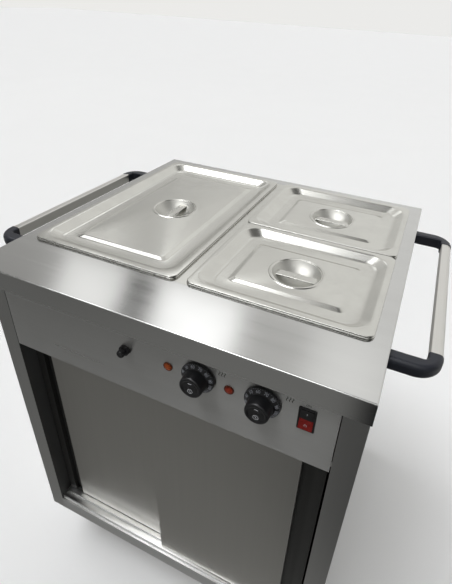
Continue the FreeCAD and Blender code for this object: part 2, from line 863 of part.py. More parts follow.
def make_tracks():
    """The upper and lower tracks, each with one groove per door."""
    front = body_y + S.track_front
    back = body_y + S.jamb_depth
    near, far = groove(0), groove(1)
    low = rail_z + S.track_height - S.groove_depth
    lower = [(front, rail_z), (back, rail_z), (back, rail_z + S.track_height),
             (far[1], rail_z + S.track_height), (far[1], low), (far[0], low),
             (far[0], rail_z + S.track_height), (near[1], rail_z + S.track_height), (near[1], low),
             (near[0], low), (near[0], rail_z + S.track_height), (front, rail_z + S.track_height)]
    finish(padded("lower_track", "YZ", polygon(lower), (-jamb_x, jamb_x)), "lower_door_track")
    bottom, top = upper_track_z
    high = bottom + S.groove_depth
    upper = [(front, top), (front, bottom), (near[0], bottom), (near[0], high), (near[1], high),
             (near[1], bottom), (far[0], bottom), (far[0], high), (far[1], high), (far[1], bottom),
             (back, bottom), (back, top)]
    finish(padded("upper_track", "YZ", polygon(upper), (-jamb_x, jamb_x)), "upper_door_track")


def make_door(label, side, row):
    """A sliding door: a folded sheet with a finger pull by its outer edge, and its glides."""
    front = door_front(row)
    back = front + S.door_thick
    outer = jamb_x - S.door_edge_gap
    inner = -S.door_overlap / 2
    pull_out = outer - S.grip_rim
    pull_in = pull_out - S.pull_width
    floor = front + S.pull_depth
    path = [(inner, back), (inner, front), (pull_in, front), (pull_in, floor), (pull_out, floor),
            (pull_out, front), (outer, front), (outer, back)]
    if side < 0:
        path = [(-x, y) for x, y in path][::-1]
    skin = padded(label + "_skin", "XY", folded(path, S.door_gauge), door_z)
    edge = mirrored(side, (inner, outer))
    caps = [box(label + "_sill", edge, (front, back), (door_z[0], door_z[0] + S.door_gauge)),
            box(label + "_head", edge, (front, back), (door_z[1] - S.door_gauge, door_z[1]))]
    finish(fuse(label + "_panel", skin, *caps), label)

    slot = groove(row)
    glide_y = grown(slot, -S.glide_play)
    low = (rail_z + S.track_height - S.groove_depth + S.glide_play, door_z[0])
    high = (door_z[1], upper_track_z[0] + S.groove_depth - S.glide_play)
    blocks = []
    for end, start in (("inner", inner + S.glide_inset), ("outer", outer - S.glide_inset - S.glide_length)):
        x = mirrored(side, (start, start + S.glide_length))
        blocks.append(box("%s_foot_%s" % (label, end), x, glide_y, low))
        blocks.append(box("%s_top_%s" % (label, end), x, glide_y, high))
    finish(group(label + "_glide_set", *blocks), label + "_glides")


# ---------------------------------------------------------------- control panel

def on_panel(depth):
    """Y of a place in front of (positive) or behind the control panel's face."""
    return body_y - depth


def panel_hole(name, x, z, radius):
    return rod(name, "Y", radius + S.hole_play, (x, on_panel(S.panel_gauge), z), 3 * S.panel_gauge)


def make_control_panel():
    """The control panel: a sheet with a hem along its bottom and a flange under the top."""
    x = grown((-jamb_x, jamb_x), -S.panel_slit)
    behind = body_y + S.panel_gauge
    profile = folded([(body_y + S.panel_hem, panel_z), (body_y, panel_z), (body_y, skin_z),
                      (body_y + S.well_flange, skin_z)][::-1], S.panel_gauge)
    sheet_body = padded("panel_sheet", "YZ", profile, x)
    holes = [panel_hole("well_spindle_hole", well_dial_x, dial_z, S.spindle_radius),
             panel_hole("cupboard_spindle_hole", cupboard_dial_x, dial_z, S.spindle_radius),
             panel_hole("well_light_hole", well_light_x, row_z, S.light_stem),
             panel_hole("cupboard_light_hole", cupboard_light_x, row_z, S.light_stem),
             panel_hole("reset_hole", reset_x, reset_z, S.reset_collar)]
    window = box("switch_window", grown(switch_body_x, S.hole_play),
                 (on_panel(S.panel_gauge), behind + S.panel_gauge), grown(switch_body_z, S.hole_play))
    finish(cut("panel_cut", sheet_body, *holes, window), "control_panel")


switch_side_x = grown((switch_x, switch_x), S.switch_width / 2)
switch_side_z = grown((row_z, row_z), S.switch_height / 2)
switch_body_x = grown(switch_side_x, -S.switch_rim)
switch_body_z = grown(switch_side_z, -S.switch_rim)


def make_dial(label, x):
    """A thermostat dial: numbered skirt, round knob and its spindle, in one moulding."""
    stand = S.dial_stand
    reach = S.dial_reach
    root = stand + S.dial_skirt
    front = S.knob_radius - S.knob_draft
    profile = [(0, stand - S.spindle_length), (S.spindle_radius, stand - S.spindle_length),
               (S.spindle_radius, stand), (S.dial_radius, stand), (S.dial_radius, stand + S.dial_edge),
               (S.knob_radius + S.knob_draft, root), (S.knob_radius, root), (front, reach - S.knob_bevel),
               (front - S.knob_bevel, reach), (front - 2 * S.knob_bevel, reach),
               (front - 3 * S.knob_bevel, reach - S.knob_dish), (0, reach - S.knob_dish)]
    knob = turned(label + "_moulding", profile)
    finish(place(knob, x, on_panel(0), dial_z, "-Y"), label)


def make_thermostat(label, x):
    """A thermostat behind the panel, whose bush carries the dial's spindle."""
    half = S.thermostat_size / 2
    front = body_y + S.panel_gauge
    case = box(label + "_case", grown((x, x), half), (front, front + S.thermostat_depth),
               grown((dial_z, dial_z), half))
    bore = rod(label + "_bore", "Y", S.spindle_radius + S.shaft_play, (x, body_y, dial_z),
               S.spindle_length)
    finish(cut(label + "_cut", case, bore), label)


def make_light(label, x):
    """A neon light: rim, domed lens and the stem that is pushed through the panel."""
    profile = [(0, -S.light_body), (S.light_stem, -S.light_body), (S.light_stem, 0), (S.light_radius, 0),
               (S.light_radius, S.light_rim * 0.6), (S.light_radius - S.light_chamfer, S.light_rim),
               (S.light_radius - S.light_lip, S.light_rim),
               (S.light_radius - S.light_lens, S.light_dome * 0.9),
               (S.light_radius / 3, S.light_dome + S.light_crown), (0, S.light_dome + S.light_tip)]
    finish(place(turned(label + "_moulding", profile), x, on_panel(0), row_z, "-Y"), label)


def make_reset():
    """The over-temperature cut-out with its threaded collar and its push button."""
    bore = S.reset_cap + S.shaft_play
    behind = S.reset_collar + S.reset_sleeve
    nut = S.reset_nut_length
    out = S.reset_reach
    profile = [(bore, -S.light_body), (behind, -S.light_body), (behind, -S.panel_gauge),
               (S.reset_collar, -S.panel_gauge), (S.reset_collar, 0), (S.reset_nut, 0),
               (S.reset_nut, nut - S.reset_chamfer), (S.reset_nut - S.reset_chamfer, nut), (bore, nut)]
    finish(place(turned("cutout_moulding", profile), reset_x, on_panel(0), reset_z, "-Y"),
           "reset_cutout")
    stem = [(0, -S.light_body / 2), (S.reset_cap, -S.light_body / 2),
            (S.reset_cap, out - S.reset_chamfer), (S.reset_cap - S.reset_chamfer, out), (0, out)]
    finish(place(turned("button_moulding", stem), reset_x, on_panel(0), reset_z, "-Y"),
           "reset_button")


def make_switch():
    """The mains switch: a frame let into the panel and a rocker on its two trunnions."""
    body = new("PartDesign::Body", "switch")
    pad(body, "switch_frame", "XZ", rounded(switch_side_x, switch_side_z, S.switch_rim),
        (on_panel(S.switch_rim), body_y))
    pad(body, "switch_case", "XZ", rectangle(switch_body_x, switch_body_z),
        (body_y, body_y + S.switch_body))
    well_x = grown(switch_body_x, -S.switch_wall / 2)
    well_z = grown(switch_body_z, -S.switch_wall / 2)
    pocket(body, "switch_well", "XZ", rectangle(well_x, well_z),
           (on_panel(S.switch_rim), body_y + S.switch_body - S.switch_wall))
    pivot_y = body_y + S.rocker_axis
    sockets = rod("switch_sockets", "X", S.spindle_radius / 2 + S.shaft_play,
                  (well_x[0] - S.switch_wall / 4, pivot_y, row_z),
                  well_x[1] - well_x[0] + S.switch_wall / 2)
    finish(cut("switch_cut", body, sockets), "switch_housing")

    peak = S.rocker_axis + S.switch_rim
    slope = S.rocker_tilt.tangent()
    swing = (peak + S.switch_height / 2 * slope) * S.rocker_tilt.sine()
    half = (well_z[1] - well_z[0]) / 2 - S.rocker_play - swing
    heel = half * 0.94
    keel = S.rocker_axis + S.rocker_keel
    profile = [(0, -peak), (half, -peak - half * slope), (heel, S.rocker_heel - half * slope),
               (S.rocker_axis, keel), (-S.rocker_axis, keel),
               (-heel, S.rocker_heel - half * slope), (-half, -peak - half * slope)]
    rocker = new("PartDesign::Body", "rocker")
    wide = grown(well_x, -S.rocker_play)
    pad(rocker, "rocker_blade", "YZ", polygon([(b, a) for a, b in profile]), wide)
    pin = rod("rocker_pin", "X", S.spindle_radius / 2,
              (well_x[0] - S.switch_wall / 4 + S.shaft_play, 0, 0),
              well_x[1] - well_x[0] + S.switch_wall / 2 - 2 * S.shaft_play)
    tilted = fuse("rocker_tilted", rocker, pin)
    place(tilted, 0, pivot_y, row_z)
    tilted.Placement.Rotation = FreeCAD.Rotation(FreeCAD.Vector(-1, 0, 0), S.rocker_tilt.value)
    bind(tilted, "Placement.Rotation.Angle", S.rocker_tilt)
    finish(tilted, "switch_rocker")


# ---------------------------------------------------------------- handles

def make_bar(label, side):
    """An aluminium handle bar: a hollow extrusion, flat inside and round outside."""
    body = new("PartDesign::Body", label + "_extrusion")
    x = mirrored(side, bar_x)
    outer, inner = (x[1], x[0]) if side > 0 else (x[0], x[1])
    pad(body, label + "_section", "XZ", rectangle(x, bar_z), bar_y)
    round_edges(body, label + "_round", S.bar_outer_radius,
                lambda edge: any(lies_at(edge, x=outer, z=z) for z in bar_z))
    round_edges(body, label + "_ease", S.bar_inner_radius,
                lambda edge: any(lies_at(edge, x=inner, z=z) for z in bar_z))
    wall = S.bar_wall
    pocket(body, label + "_hollow", "XZ",
           rounded(grown(x, -wall), grown(bar_z, -wall), S.bar_outer_radius - wall), bar_y)
    centre_x = outer - side * S.bar_outer_radius
    centre_z = bar_z[1] - S.bar_outer_radius
    grooves = []
    for number, angle in enumerate(BAR_GROOVE_ANGLES):
        turn = math.radians(angle)
        grooves.append(rod("%s_groove_%d" % (label, number), "Y", S.bar_groove,
                           (centre_x + side * math.cos(turn) * S.bar_outer_radius, bar_y[0],
                            centre_z + math.sin(turn) * S.bar_outer_radius),
                           bar_y[1] - bar_y[0]))
    finish(cut(label + "_cut", body, *grooves), label)


def make_bracket(label, side, facing):
    """A moulded handle bracket: an arm from the worktop's flange that turns into the bar."""
    def along(distance):
        return handle_front + distance if facing > 0 else handle_back - distance

    def out(distance):
        return half_width + distance if side > 0 else -half_width - distance

    root = 0
    end = S.handle_arm + S.handle_sleeve
    inner = S.handle_reach - S.handle_width
    points = [(out(root), along(0)), (out(S.handle_reach), along(0)), (out(S.handle_reach), along(end)),
              (out(inner), along(end)), (out(inner), along(S.handle_arm)), (out(root), along(S.handle_arm))]
    if side * facing < 0:
        points = points[::-1]
    body = new("PartDesign::Body", label + "_moulding")
    pad(body, label + "_arm", "XY", polygon(points), handle_z)
    round_edges(body, label + "_turn", S.handle_turn,
                lambda edge: lies_at(edge, x=out(S.handle_reach), y=along(0)))
    round_edges(body, label + "_crook", S.handle_inner_turn,
                lambda edge: lies_at(edge, x=out(inner), y=along(S.handle_arm)))
    def on_rim(edge, inside):
        """Whether an edge of the top or bottom face runs round the arm's inner or outer side."""
        if not any(lies_at(edge, z=z) for z in handle_z):
            return False
        if lies_at(edge, x=out(root)) or lies_at(edge, y=along(end)):
            return False
        middle = edge.valueAt((edge.FirstParameter + edge.LastParameter) / 2)
        depth = abs(middle.y - along(0).value)
        reach = abs(middle.x - out(0).value)
        return inside == (depth > S.handle_arm.value - 0.01 and reach < inner.value + 0.01)

    round_edges(body, label + "_ease", S.handle_inner_round, lambda edge: on_rim(edge, True))
    round_edges(body, label + "_round", S.handle_round, lambda edge: on_rim(edge, False))
    hollow = S.bar_wall + S.spigot_play
    spigot_y = (along(end), along(end + S.spigot_length))
    pad(body, label + "_spigot", "XZ",
        rounded(grown(mirrored(side, bar_x), -hollow), grown(bar_z, -hollow),
                S.bar_outer_radius - hollow), spigot_y if facing > 0 else spigot_y[::-1])
    start = out(0) if side > 0 else out(S.screw_bite + 1)
    bore = rod(label + "_bore", "X", S.screw_radius + S.shaft_play,
               (start, arm_middle(facing), handle_screw_z), S.screw_bite + 1)
    finish(cut(label + "_cut", body, bore), label)


def make_handle_screws():
    """The screws that hold the brackets from inside the side panels."""
    screws = []
    for name, side, facing in BRACKETS:
        inside = side_x - S.panel_gauge
        head_x = mirrored(side, (inside - S.screw_head_height, inside))
        shank_x = mirrored(side, (inside - S.screw_head_height, half_width + S.screw_bite))
        y = arm_middle(facing)
        head = rod(name + "_screw_head", "X", S.screw_head, (head_x[0], y, handle_screw_z),
                   Size.of(head_x[1]) - head_x[0])
        shank = rod(name + "_screw_shank", "X", S.screw_radius, (shank_x[0], y, handle_screw_z),
                    Size.of(shank_x[1]) - shank_x[0])
        screws.append(fuse(name + "_screw", head, shank))
    finish(group("screws", *screws), "handle_screws")


# ---------------------------------------------------------------- castors

race_z = (S.base_height - S.plate_gauge - S.race_height, S.base_height - S.plate_gauge)
crown_z = (race_z[0] - S.race_gap - S.fork_gauge, race_z[0] - S.race_gap)
leg_x = S.hub_width / 2 + S.fork_gap
pedal_y = S.castor_trail + S.pedal_forward
pedal_z = S.wheel_radius + S.pedal_rise


def make_castor_plates():
    """The four fixed castor plates, each with its upper race and kingpin."""
    plates = []
    for name, x, y in CASTORS:
        plate = box(name + "_plate", grown((x, x), S.plate_width / 2), grown((y, y), S.plate_length / 2),
                    (S.base_height - S.plate_gauge, S.base_height))
        race = rod(name + "_race", "Z", S.race_radius, (x, y, race_z[0]), S.race_height)
        pin = rod(name + "_kingpin", "Z", S.kingpin_radius, (x, y, crown_z[0] - S.fork_gauge),
                  race_z[1] - crown_z[0] + S.fork_gauge)
        head = rod(name + "_kingpin_head", "Z", S.kingpin_radius * 1.6,
                   (x, y, crown_z[0] - S.fork_gauge - S.race_gap), S.fork_gauge)
        plates.append(fuse(name + "_plate_set", plate, race, pin, head))
    finish(group("plates", *plates), "castor_plates")


def make_fork(name, x, y, braked):
    """A swivel fork: crown, two legs that trail to the axle, and the riveted axle."""
    trail = S.castor_trail
    axle_z = S.wheel_radius
    eye = S.fork_eye
    leg = [(-S.fork_half, crown_z[1]), (-S.fork_half, crown_z[0]), (trail - eye, axle_z - eye / 2),
           (trail - eye / 2, axle_z - eye), (trail + eye / 2, axle_z - eye),
           (trail + eye, axle_z - eye / 2)]
    if braked:
        ear = S.ear_radius
        leg += [(pedal_y + ear, pedal_z - ear), (pedal_y + ear, pedal_z + ear / 2),
                (pedal_y, pedal_z + ear), (S.fork_half, crown_z[1])]
    else:
        leg += [(S.fork_half, crown_z[0]), (S.fork_half, crown_z[1])]
    pieces = [box(name + "_crown", (-leg_x - S.fork_gauge, leg_x + S.fork_gauge),
                  (-S.fork_half, S.fork_half), crown_z)]
    for side in (-1, 1):
        pieces.append(padded("%s_leg_%d" % (name, side + 1), "YZ", polygon(leg),
                             mirrored(side, (leg_x, leg_x + S.fork_gauge))))
    half = leg_x + S.fork_gauge + S.axle_head
    pieces.append(rod(name + "_axle", "X", S.axle_radius, (-half, trail, axle_z), 2 * half))
    for side in (-1, 1):
        span = mirrored(side, (leg_x + S.fork_gauge, half))
        pieces.append(rod("%s_axle_nut_%d" % (name, side + 1), "X", S.axle_radius * 1.7,
                          (span[0], trail, axle_z), S.axle_head))
    pin_hole = rod(name + "_king_bore", "Z", S.kingpin_radius + S.shaft_play,
                   (0, 0, crown_z[0] - 1), S.fork_gauge + 2)
    tools = [pin_hole]
    if braked:
        tools.append(rod(name + "_pedal_bore", "X", S.pedal_pin + S.shaft_play,
                         (-half, pedal_y, pedal_z), 2 * half))
    fork = cut(name + "_fork_cut", fuse(name + "_fork_body", *pieces), *tools)
    finish(place(fork, x, y, 0), name + "_fork")


def make_wheel(name, x, y):
    """A castor wheel: hub, web and rounded tread about a bored axle hole."""
    radius = S.wheel_radius
    half = S.wheel_width / 2
    hub = S.hub_width / 2
    bore = S.axle_radius + S.shaft_play
    web = half - S.web_set
    rim, lip, crown = radius - S.rim_depth, radius - S.rim_lip, radius - S.tread_crown
    wall, foot, fold = bore + S.hub_wall, bore + S.hub_foot, radius - S.tread_round
    near = [(bore, -hub), (wall, -hub), (foot, -web), (rim, -web), (lip, S.rim_set - half),
            (fold, -half), (crown, S.tread_shoulder - half), (radius, S.tread_side - half)]
    far = [(radius, half - S.tread_side), (crown, half - S.tread_shoulder), (fold, half),
           (lip, half - S.rim_set), (rim, web), (foot, web), (wall, hub), (bore, hub)]
    profile = near + far
    wheel = turned(name + "_wheel_turning", profile)
    finish(place(wheel, x, y + S.castor_trail, radius, "X"), name + "_wheel")


def make_pedal(name, x, y):
    """A brake pedal pivoted between the ears of a front fork."""
    half = leg_x - S.race_gap
    thick = S.pedal_thick
    boss = S.pedal_pin * 1.5
    tongue = [(-boss, boss), (-boss, 0), (-boss / 2, -S.brake_reach), (boss / 2, -S.brake_reach),
              (boss, -thick), (2 * boss, -thick / 2), (S.pedal_reach, -S.pedal_drop - thick),
              (S.pedal_reach, -S.pedal_drop), (2 * boss, thick / 2), (boss, boss)]
    blade = padded(name + "_tongue", "YZ", polygon(tongue), (-S.pedal_width / 2, S.pedal_width / 2))
    sleeve = rod(name + "_sleeve", "X", boss, (-half, 0, 0), 2 * half)
    ends = half + S.fork_gauge + S.pedal_pin_end
    pin = rod(name + "_pin", "X", S.pedal_pin, (-ends, 0, 0), 2 * ends)
    pedal = fuse(name + "_pedal_body", blade, sleeve, pin)
    finish(place(pedal, x, y + pedal_y, pedal_z), name + "_pedal")


# ---------------------------------------------------------------- heating and wiring

def make_element(label, reach, y_middle, z, clip_z):
    """A heating rod bent into a long U, with clips up or down to what carries it."""
    half_spread = S.element_spread / 2
    bend_x = reach - half_spread - S.element_radius
    sides = grown((y_middle, y_middle), half_spread)
    legs = [rod("%s_leg_%d" % (label, number), "X", S.element_radius, (-reach, y, z), bend_x + reach)
            for number, y in enumerate(sides)]
    bend = new("Part::Torus", label + "_bend")
    bind(bend, "Radius1", half_spread)
    bind(bend, "Radius2", S.element_radius)
    bend.Angle3 = 180
    place(bend, bend_x, y_middle, z)
    bend.Placement.Rotation = FreeCAD.Rotation(FreeCAD.Vector(0, 0, 1), -90)
    clips = [box("%s_clip_%d" % (label, number), grown((x, x), S.clip_width / 2),
                 grown(sides, S.clip_end), clip_z)
             for number, x in enumerate((-reach + 2 * S.clip_end, bend_x - S.clip_end))]
    finish(fuse(label + "_rod", *legs, bend, *clips), label)


def make_heating():
    """The well's element under the tank and the cupboard's on the liner's floor."""
    tank = top_z - S.well_depth - S.well_gauge
    middle = (cell_front + cell_back) / 2
    well_rod = tank - S.element_radius
    make_element("well_element", opening_x[1] - S.well_element_inset, middle, well_rod,
                 (well_rod - S.clip_lap, tank))
    floor = rail_z + S.panel_gauge
    cupboard_rod = floor + S.cupboard_element_rise
    make_element("cupboard_element", jamb_x - S.cupboard_element_inset, middle, cupboard_rod,
                 (floor, cupboard_rod))


def make_wiring():
    """The terminal block on the left side panel and the mains gland in the back panel."""
    inside = side_x - S.panel_gauge
    finish(box("terminals", mirrored(-1, (inside - S.terminal_width, inside)),
               (body_y + S.jamb_depth + S.angle_width,
                body_y + S.jamb_depth + S.angle_width + S.terminal_length),
               grown((row_z, row_z), S.terminal_height / 2)), "terminal_block")
    stem = S.gland_bore + S.gland_wall
    reach = S.gland_reach
    inner = -S.panel_gauge
    nut = inner - S.gland_nut
    profile = [(S.gland_bore, nut - S.gland_thread), (stem, nut - S.gland_thread), (stem, nut),
               (S.gland_radius, nut), (S.gland_radius, inner), (stem, inner), (stem, 0),
               (S.gland_radius, 0), (S.gland_radius, S.gland_nut),
               (S.gland_radius - S.gland_taper, reach - S.gland_tip_length),
               (S.gland_radius - S.gland_tip, reach), (S.gland_bore, reach)]
    gland = turned("gland_moulding", profile)
    finish(place(gland, gland_x, back_face, gland_z, "Y"), "cable_gland")


def make_rivets():
    """The domed rivets that hold the back panel to the side panels' returns."""
    left, right = -side_x + S.rivet_inset, side_x - S.rivet_inset
    low, high = S.base_height + S.rivet_inset, top_z - S.flange_height - S.rivet_inset
    rivets = []
    for column, x in enumerate((left, right)):
        for row in range(RIVETS_UP):
            z = low + (high - low) * (row / (RIVETS_UP - 1))
            rivets.append(rod("rivet_%d_%d" % (column, row), "Y", S.rivet_radius, (x, back_face, z),
                              S.rivet_height))
    for number in range(RIVETS_ACROSS):
        x = left + (right - left) * ((number + 1) / (RIVETS_ACROSS + 1))
        rivets.append(rod("rivet_base_%d" % number, "Y", S.rivet_radius, (x, back_face, low),
                          S.rivet_height))
    finish(group("rivets", *rivets), "back_rivets")


# ---------------------------------------------------------------- the whole trolley

def build():
    make_top()
    make_well()
    make_divider()
    make_pan("full_pan", full_cell)
    make_pan("front_half_pan", front_cell)
    make_pan("rear_half_pan", rear_cell)
    make_lid("full_lid", full_cell, "Y")
    make_lid("front_half_lid", front_cell, "X")
    make_lid("rear_half_lid", rear_cell, "X")
    make_side("left_side_panel", -1)
    make_side("right_side_panel", 1)
    make_back()
    make_base()
    make_liner()
    make_tracks()
    make_door("left_door", -1, 1)
    make_door("right_door", 1, 0)
    make_control_panel()
    make_dial("well_dial", well_dial_x)
    make_dial("cupboard_dial", cupboard_dial_x)
    make_thermostat("well_thermostat", well_dial_x)
    make_thermostat("cupboard_thermostat", cupboard_dial_x)
    make_light("well_light", well_light_x)
    make_light("cupboard_light", cupboard_light_x)
    make_reset()
    make_switch()
    make_bar("left_handle_bar", -1)
    make_bar("right_handle_bar", 1)
    for name, side, facing in BRACKETS:
        make_bracket(name + "_bracket", side, facing)
    make_handle_screws()
    make_castor_plates()
    for name, x, y in CASTORS:
        make_fork(name, x, y, name.startswith("front"))
        make_wheel(name, x, y)
    for name, x, y in CASTORS[:2]:
        make_pedal(name, x, y)
    make_heating()
    make_wiring()
    make_rivets()


def check():
    """Stop if any object failed or any piece's shape is not sound."""
    failed = [thing.Name for thing in doc.Objects
              if "Invalid" in thing.State or "Error" in thing.State]
    if failed:
        raise RuntimeError("failed objects: " + ", ".join(failed))
    for piece in parts:
        shape = piece.Shape
        if shape.isNull() or not shape.isValid() or not shape.Solids:
            raise RuntimeError("unsound piece: " + piece.Label)


def export():
    os.makedirs("parts", exist_ok=True)
    for piece in parts:
        piece.Shape.exportStep("parts/" + piece.Label + ".step")


build()
doc.recompute()
check()
export()
print(len(parts), "pieces written")
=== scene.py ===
import json
import math

import bmesh
import bpy
from mathutils import Matrix, Vector

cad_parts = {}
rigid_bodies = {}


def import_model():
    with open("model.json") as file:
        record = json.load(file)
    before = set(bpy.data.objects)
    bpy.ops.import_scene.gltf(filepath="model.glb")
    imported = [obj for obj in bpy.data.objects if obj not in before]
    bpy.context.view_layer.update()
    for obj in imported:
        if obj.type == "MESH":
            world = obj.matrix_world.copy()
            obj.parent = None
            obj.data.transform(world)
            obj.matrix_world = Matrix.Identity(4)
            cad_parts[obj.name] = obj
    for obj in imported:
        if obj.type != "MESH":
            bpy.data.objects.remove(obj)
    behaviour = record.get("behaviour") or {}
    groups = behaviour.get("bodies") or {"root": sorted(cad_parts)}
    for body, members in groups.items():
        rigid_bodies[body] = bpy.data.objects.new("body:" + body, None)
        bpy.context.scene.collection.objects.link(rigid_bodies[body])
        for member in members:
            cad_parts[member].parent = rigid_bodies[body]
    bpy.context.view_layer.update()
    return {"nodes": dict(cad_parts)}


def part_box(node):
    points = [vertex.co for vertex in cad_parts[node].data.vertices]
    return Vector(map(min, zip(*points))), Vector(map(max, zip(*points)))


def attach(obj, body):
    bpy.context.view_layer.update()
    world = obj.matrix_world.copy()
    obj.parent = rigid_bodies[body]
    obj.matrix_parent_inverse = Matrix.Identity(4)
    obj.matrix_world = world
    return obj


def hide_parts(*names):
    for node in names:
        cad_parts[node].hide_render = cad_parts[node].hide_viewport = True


# Hostess trolley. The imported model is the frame: X runs right, Y to the back and Z up, in
# metres. The pressed lids and pans, the dials and the other small fittings are modelled here.

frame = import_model()
nodes = frame["nodes"]


# ---------------------------------------------------------------- camera

FOCAL = 434.39
FRAME_WIDTH, FRAME_HEIGHT = 452, 584
EYE_CENTRE = (246.56, 250.96)
HEADING, PITCH, ROLL = -0.3886, 0.5243, 0.0556
EYE = Vector((0.3400, -0.7518, 1.3283))


def make_camera():
    """The camera that stands where the photograph was taken from."""
    bpy.ops.object.camera_add(location=EYE)
    camera = bpy.context.object
    forward = Vector((math.sin(HEADING) * math.cos(PITCH), math.cos(HEADING) * math.cos(PITCH),
                      -math.sin(PITCH)))
    level = Vector((math.cos(HEADING), -math.sin(HEADING), 0))
    upright = level.cross(forward)
    right = level * math.cos(ROLL) + upright * math.sin(ROLL)
    up = upright * math.cos(ROLL) - level * math.sin(ROLL)
    turn = Matrix((right, up, -forward)).transposed()
    camera.matrix_world = Matrix.Translation(EYE) @ turn.to_4x4()
    lens = camera.data
    lens.sensor_width = 36
    lens.lens = FOCAL / FRAME_HEIGHT * 36
    lens.shift_x = (FRAME_WIDTH / 2 - EYE_CENTRE[0]) / FRAME_HEIGHT
    lens.shift_y = (EYE_CENTRE[1] - FRAME_HEIGHT / 2) / FRAME_HEIGHT
    lens.clip_start, lens.clip_end = 0.05, 80
    bpy.context.scene.camera = camera


# ---------------------------------------------------------------- shader helpers

class Number:
    """A number that varies over a surface: one socket, with arithmetic on it."""

    def __init__(self, finish, socket):
        self.finish = finish
        self.socket = socket

    def maths(self, operation, *values):
        return self.finish.node("Math", {"operation": operation}, *values)

    def __add__(self, other):
        return self.maths("ADD", self, other)

    def __radd__(self, other):
        return self.maths("ADD", other, self)

    def __sub__(self, other):
        return self.maths("SUBTRACT", self, other)

    def __rsub__(self, other):
        return self.maths("SUBTRACT", other, self)

    def __mul__(self, other):
        return self.maths("MULTIPLY", self, other)

    def __truediv__(self, other):
        return self.maths("DIVIDE", self, other)

    def __abs__(self):
        return self.maths("ABSOLUTE", self)


class Weave:
    """A tree of shader nodes, and one way to add any node to it."""

    def __init__(self, tree):
        self.tree = tree

    def node(self, kind, settings, *values, **named):
        """Add one node: its settings first, then the values or links of its sockets."""
        made = self.tree.nodes.new("ShaderNode" + kind)
        for name, value in settings.items():
            if name == "stops":
                self.set_stops(made.color_ramp, value)
            else:
                setattr(made, name, value)
        sockets = [socket for socket in made.inputs if socket.enabled]
        pairs = list(zip(sockets, values))
        pairs += [(next(s for s in sockets if s.name == name.replace("_", " ")), value)
                  for name, value in named.items()]
        for socket, value in pairs:
            if isinstance(value, Number):
                self.tree.links.new(value.socket, socket)
            elif value is not None:
                socket.default_value = value
        return Number(self, next(socket for socket in made.outputs if socket.enabled))

    def spread(self, value, low, high, new_low, new_high):
        return self.node("MapRange", {}, value, low, high, new_low, new_high)

    def within(self, value, low, high, soft):
        """1 between two limits, falling off smoothly over a width at each."""
        smoothly = {"interpolation_type": "SMOOTHSTEP"}
        rise = self.node("MapRange", smoothly, value, low - soft, low + soft, 0, 1)
        fall = self.node("MapRange", smoothly, value, high - soft, high + soft, 1, 0)
        return rise * fall

    def blend(self, factor, first, second):
        colours = [(*tone, 1) if isinstance(tone, tuple) else tone for tone in (first, second)]
        return self.node("Mix", {"data_type": "RGBA"}, factor, *colours)

    def output(self, name, kind, *values):
        """A named output of a new node."""
        return Number(self, self.node(kind, {}, *values).socket.node.outputs[name])

    def part(self, vector, axis):
        """One of a vector's three numbers."""
        return self.output(axis, "SeparateXYZ", vector)

    @staticmethod
    def set_stops(ramp, stops):
        while len(ramp.elements) < len(stops):
            ramp.elements.new(1)
        for element, (position, tone) in zip(ramp.elements, stops):
            element.position = position
            element.color = (tone, tone, tone, 1)


class Finish(Weave):
    """A surface finish: a material whose shader takes plain settings and woven-in nodes."""

    def __init__(self, name, **settings):
        self.material = bpy.data.materials.new(name)
        self.material.use_nodes = True
        super().__init__(self.material.node_tree)
        self.shader = self.tree.nodes["Principled BSDF"]
        for socket, value in settings.items():
            self.shader.inputs[socket.replace("_", " ")].default_value = value

    def place(self, scale=(1, 1, 1), turn=(0, 0, 0)):
        """Object coordinates, stretched and turned."""
        return self.node("Mapping", {}, self.output("Object", "TexCoord"), None, turn, scale)

    def outward(self):
        """The direction that the surface faces."""
        return self.output("Normal", "NewGeometry")

    def noise(self, where, scale=1, detail=3, roughness=0.5):
        return self.node("TexNoise", {}, Vector=where, Scale=scale, Detail=detail,
                         Roughness=roughness)

    def cells(self, where, scale):
        return self.node("TexVoronoi", {}, Vector=where, Scale=scale)

    def feed(self, **sockets):
        for name, value in sockets.items():
            self.tree.links.new(value.socket, self.shader.inputs[name.replace("_", " ")])

    def bump(self, height, strength, depth):
        """A bump that feeds the shader's normal."""
        return self.node("Bump", {}, Strength=strength, Distance=depth, Height=height)


def scaled(tone, share):
    """A colour made lighter or darker."""
    return tuple(min(part * share, 1) for part in tone)


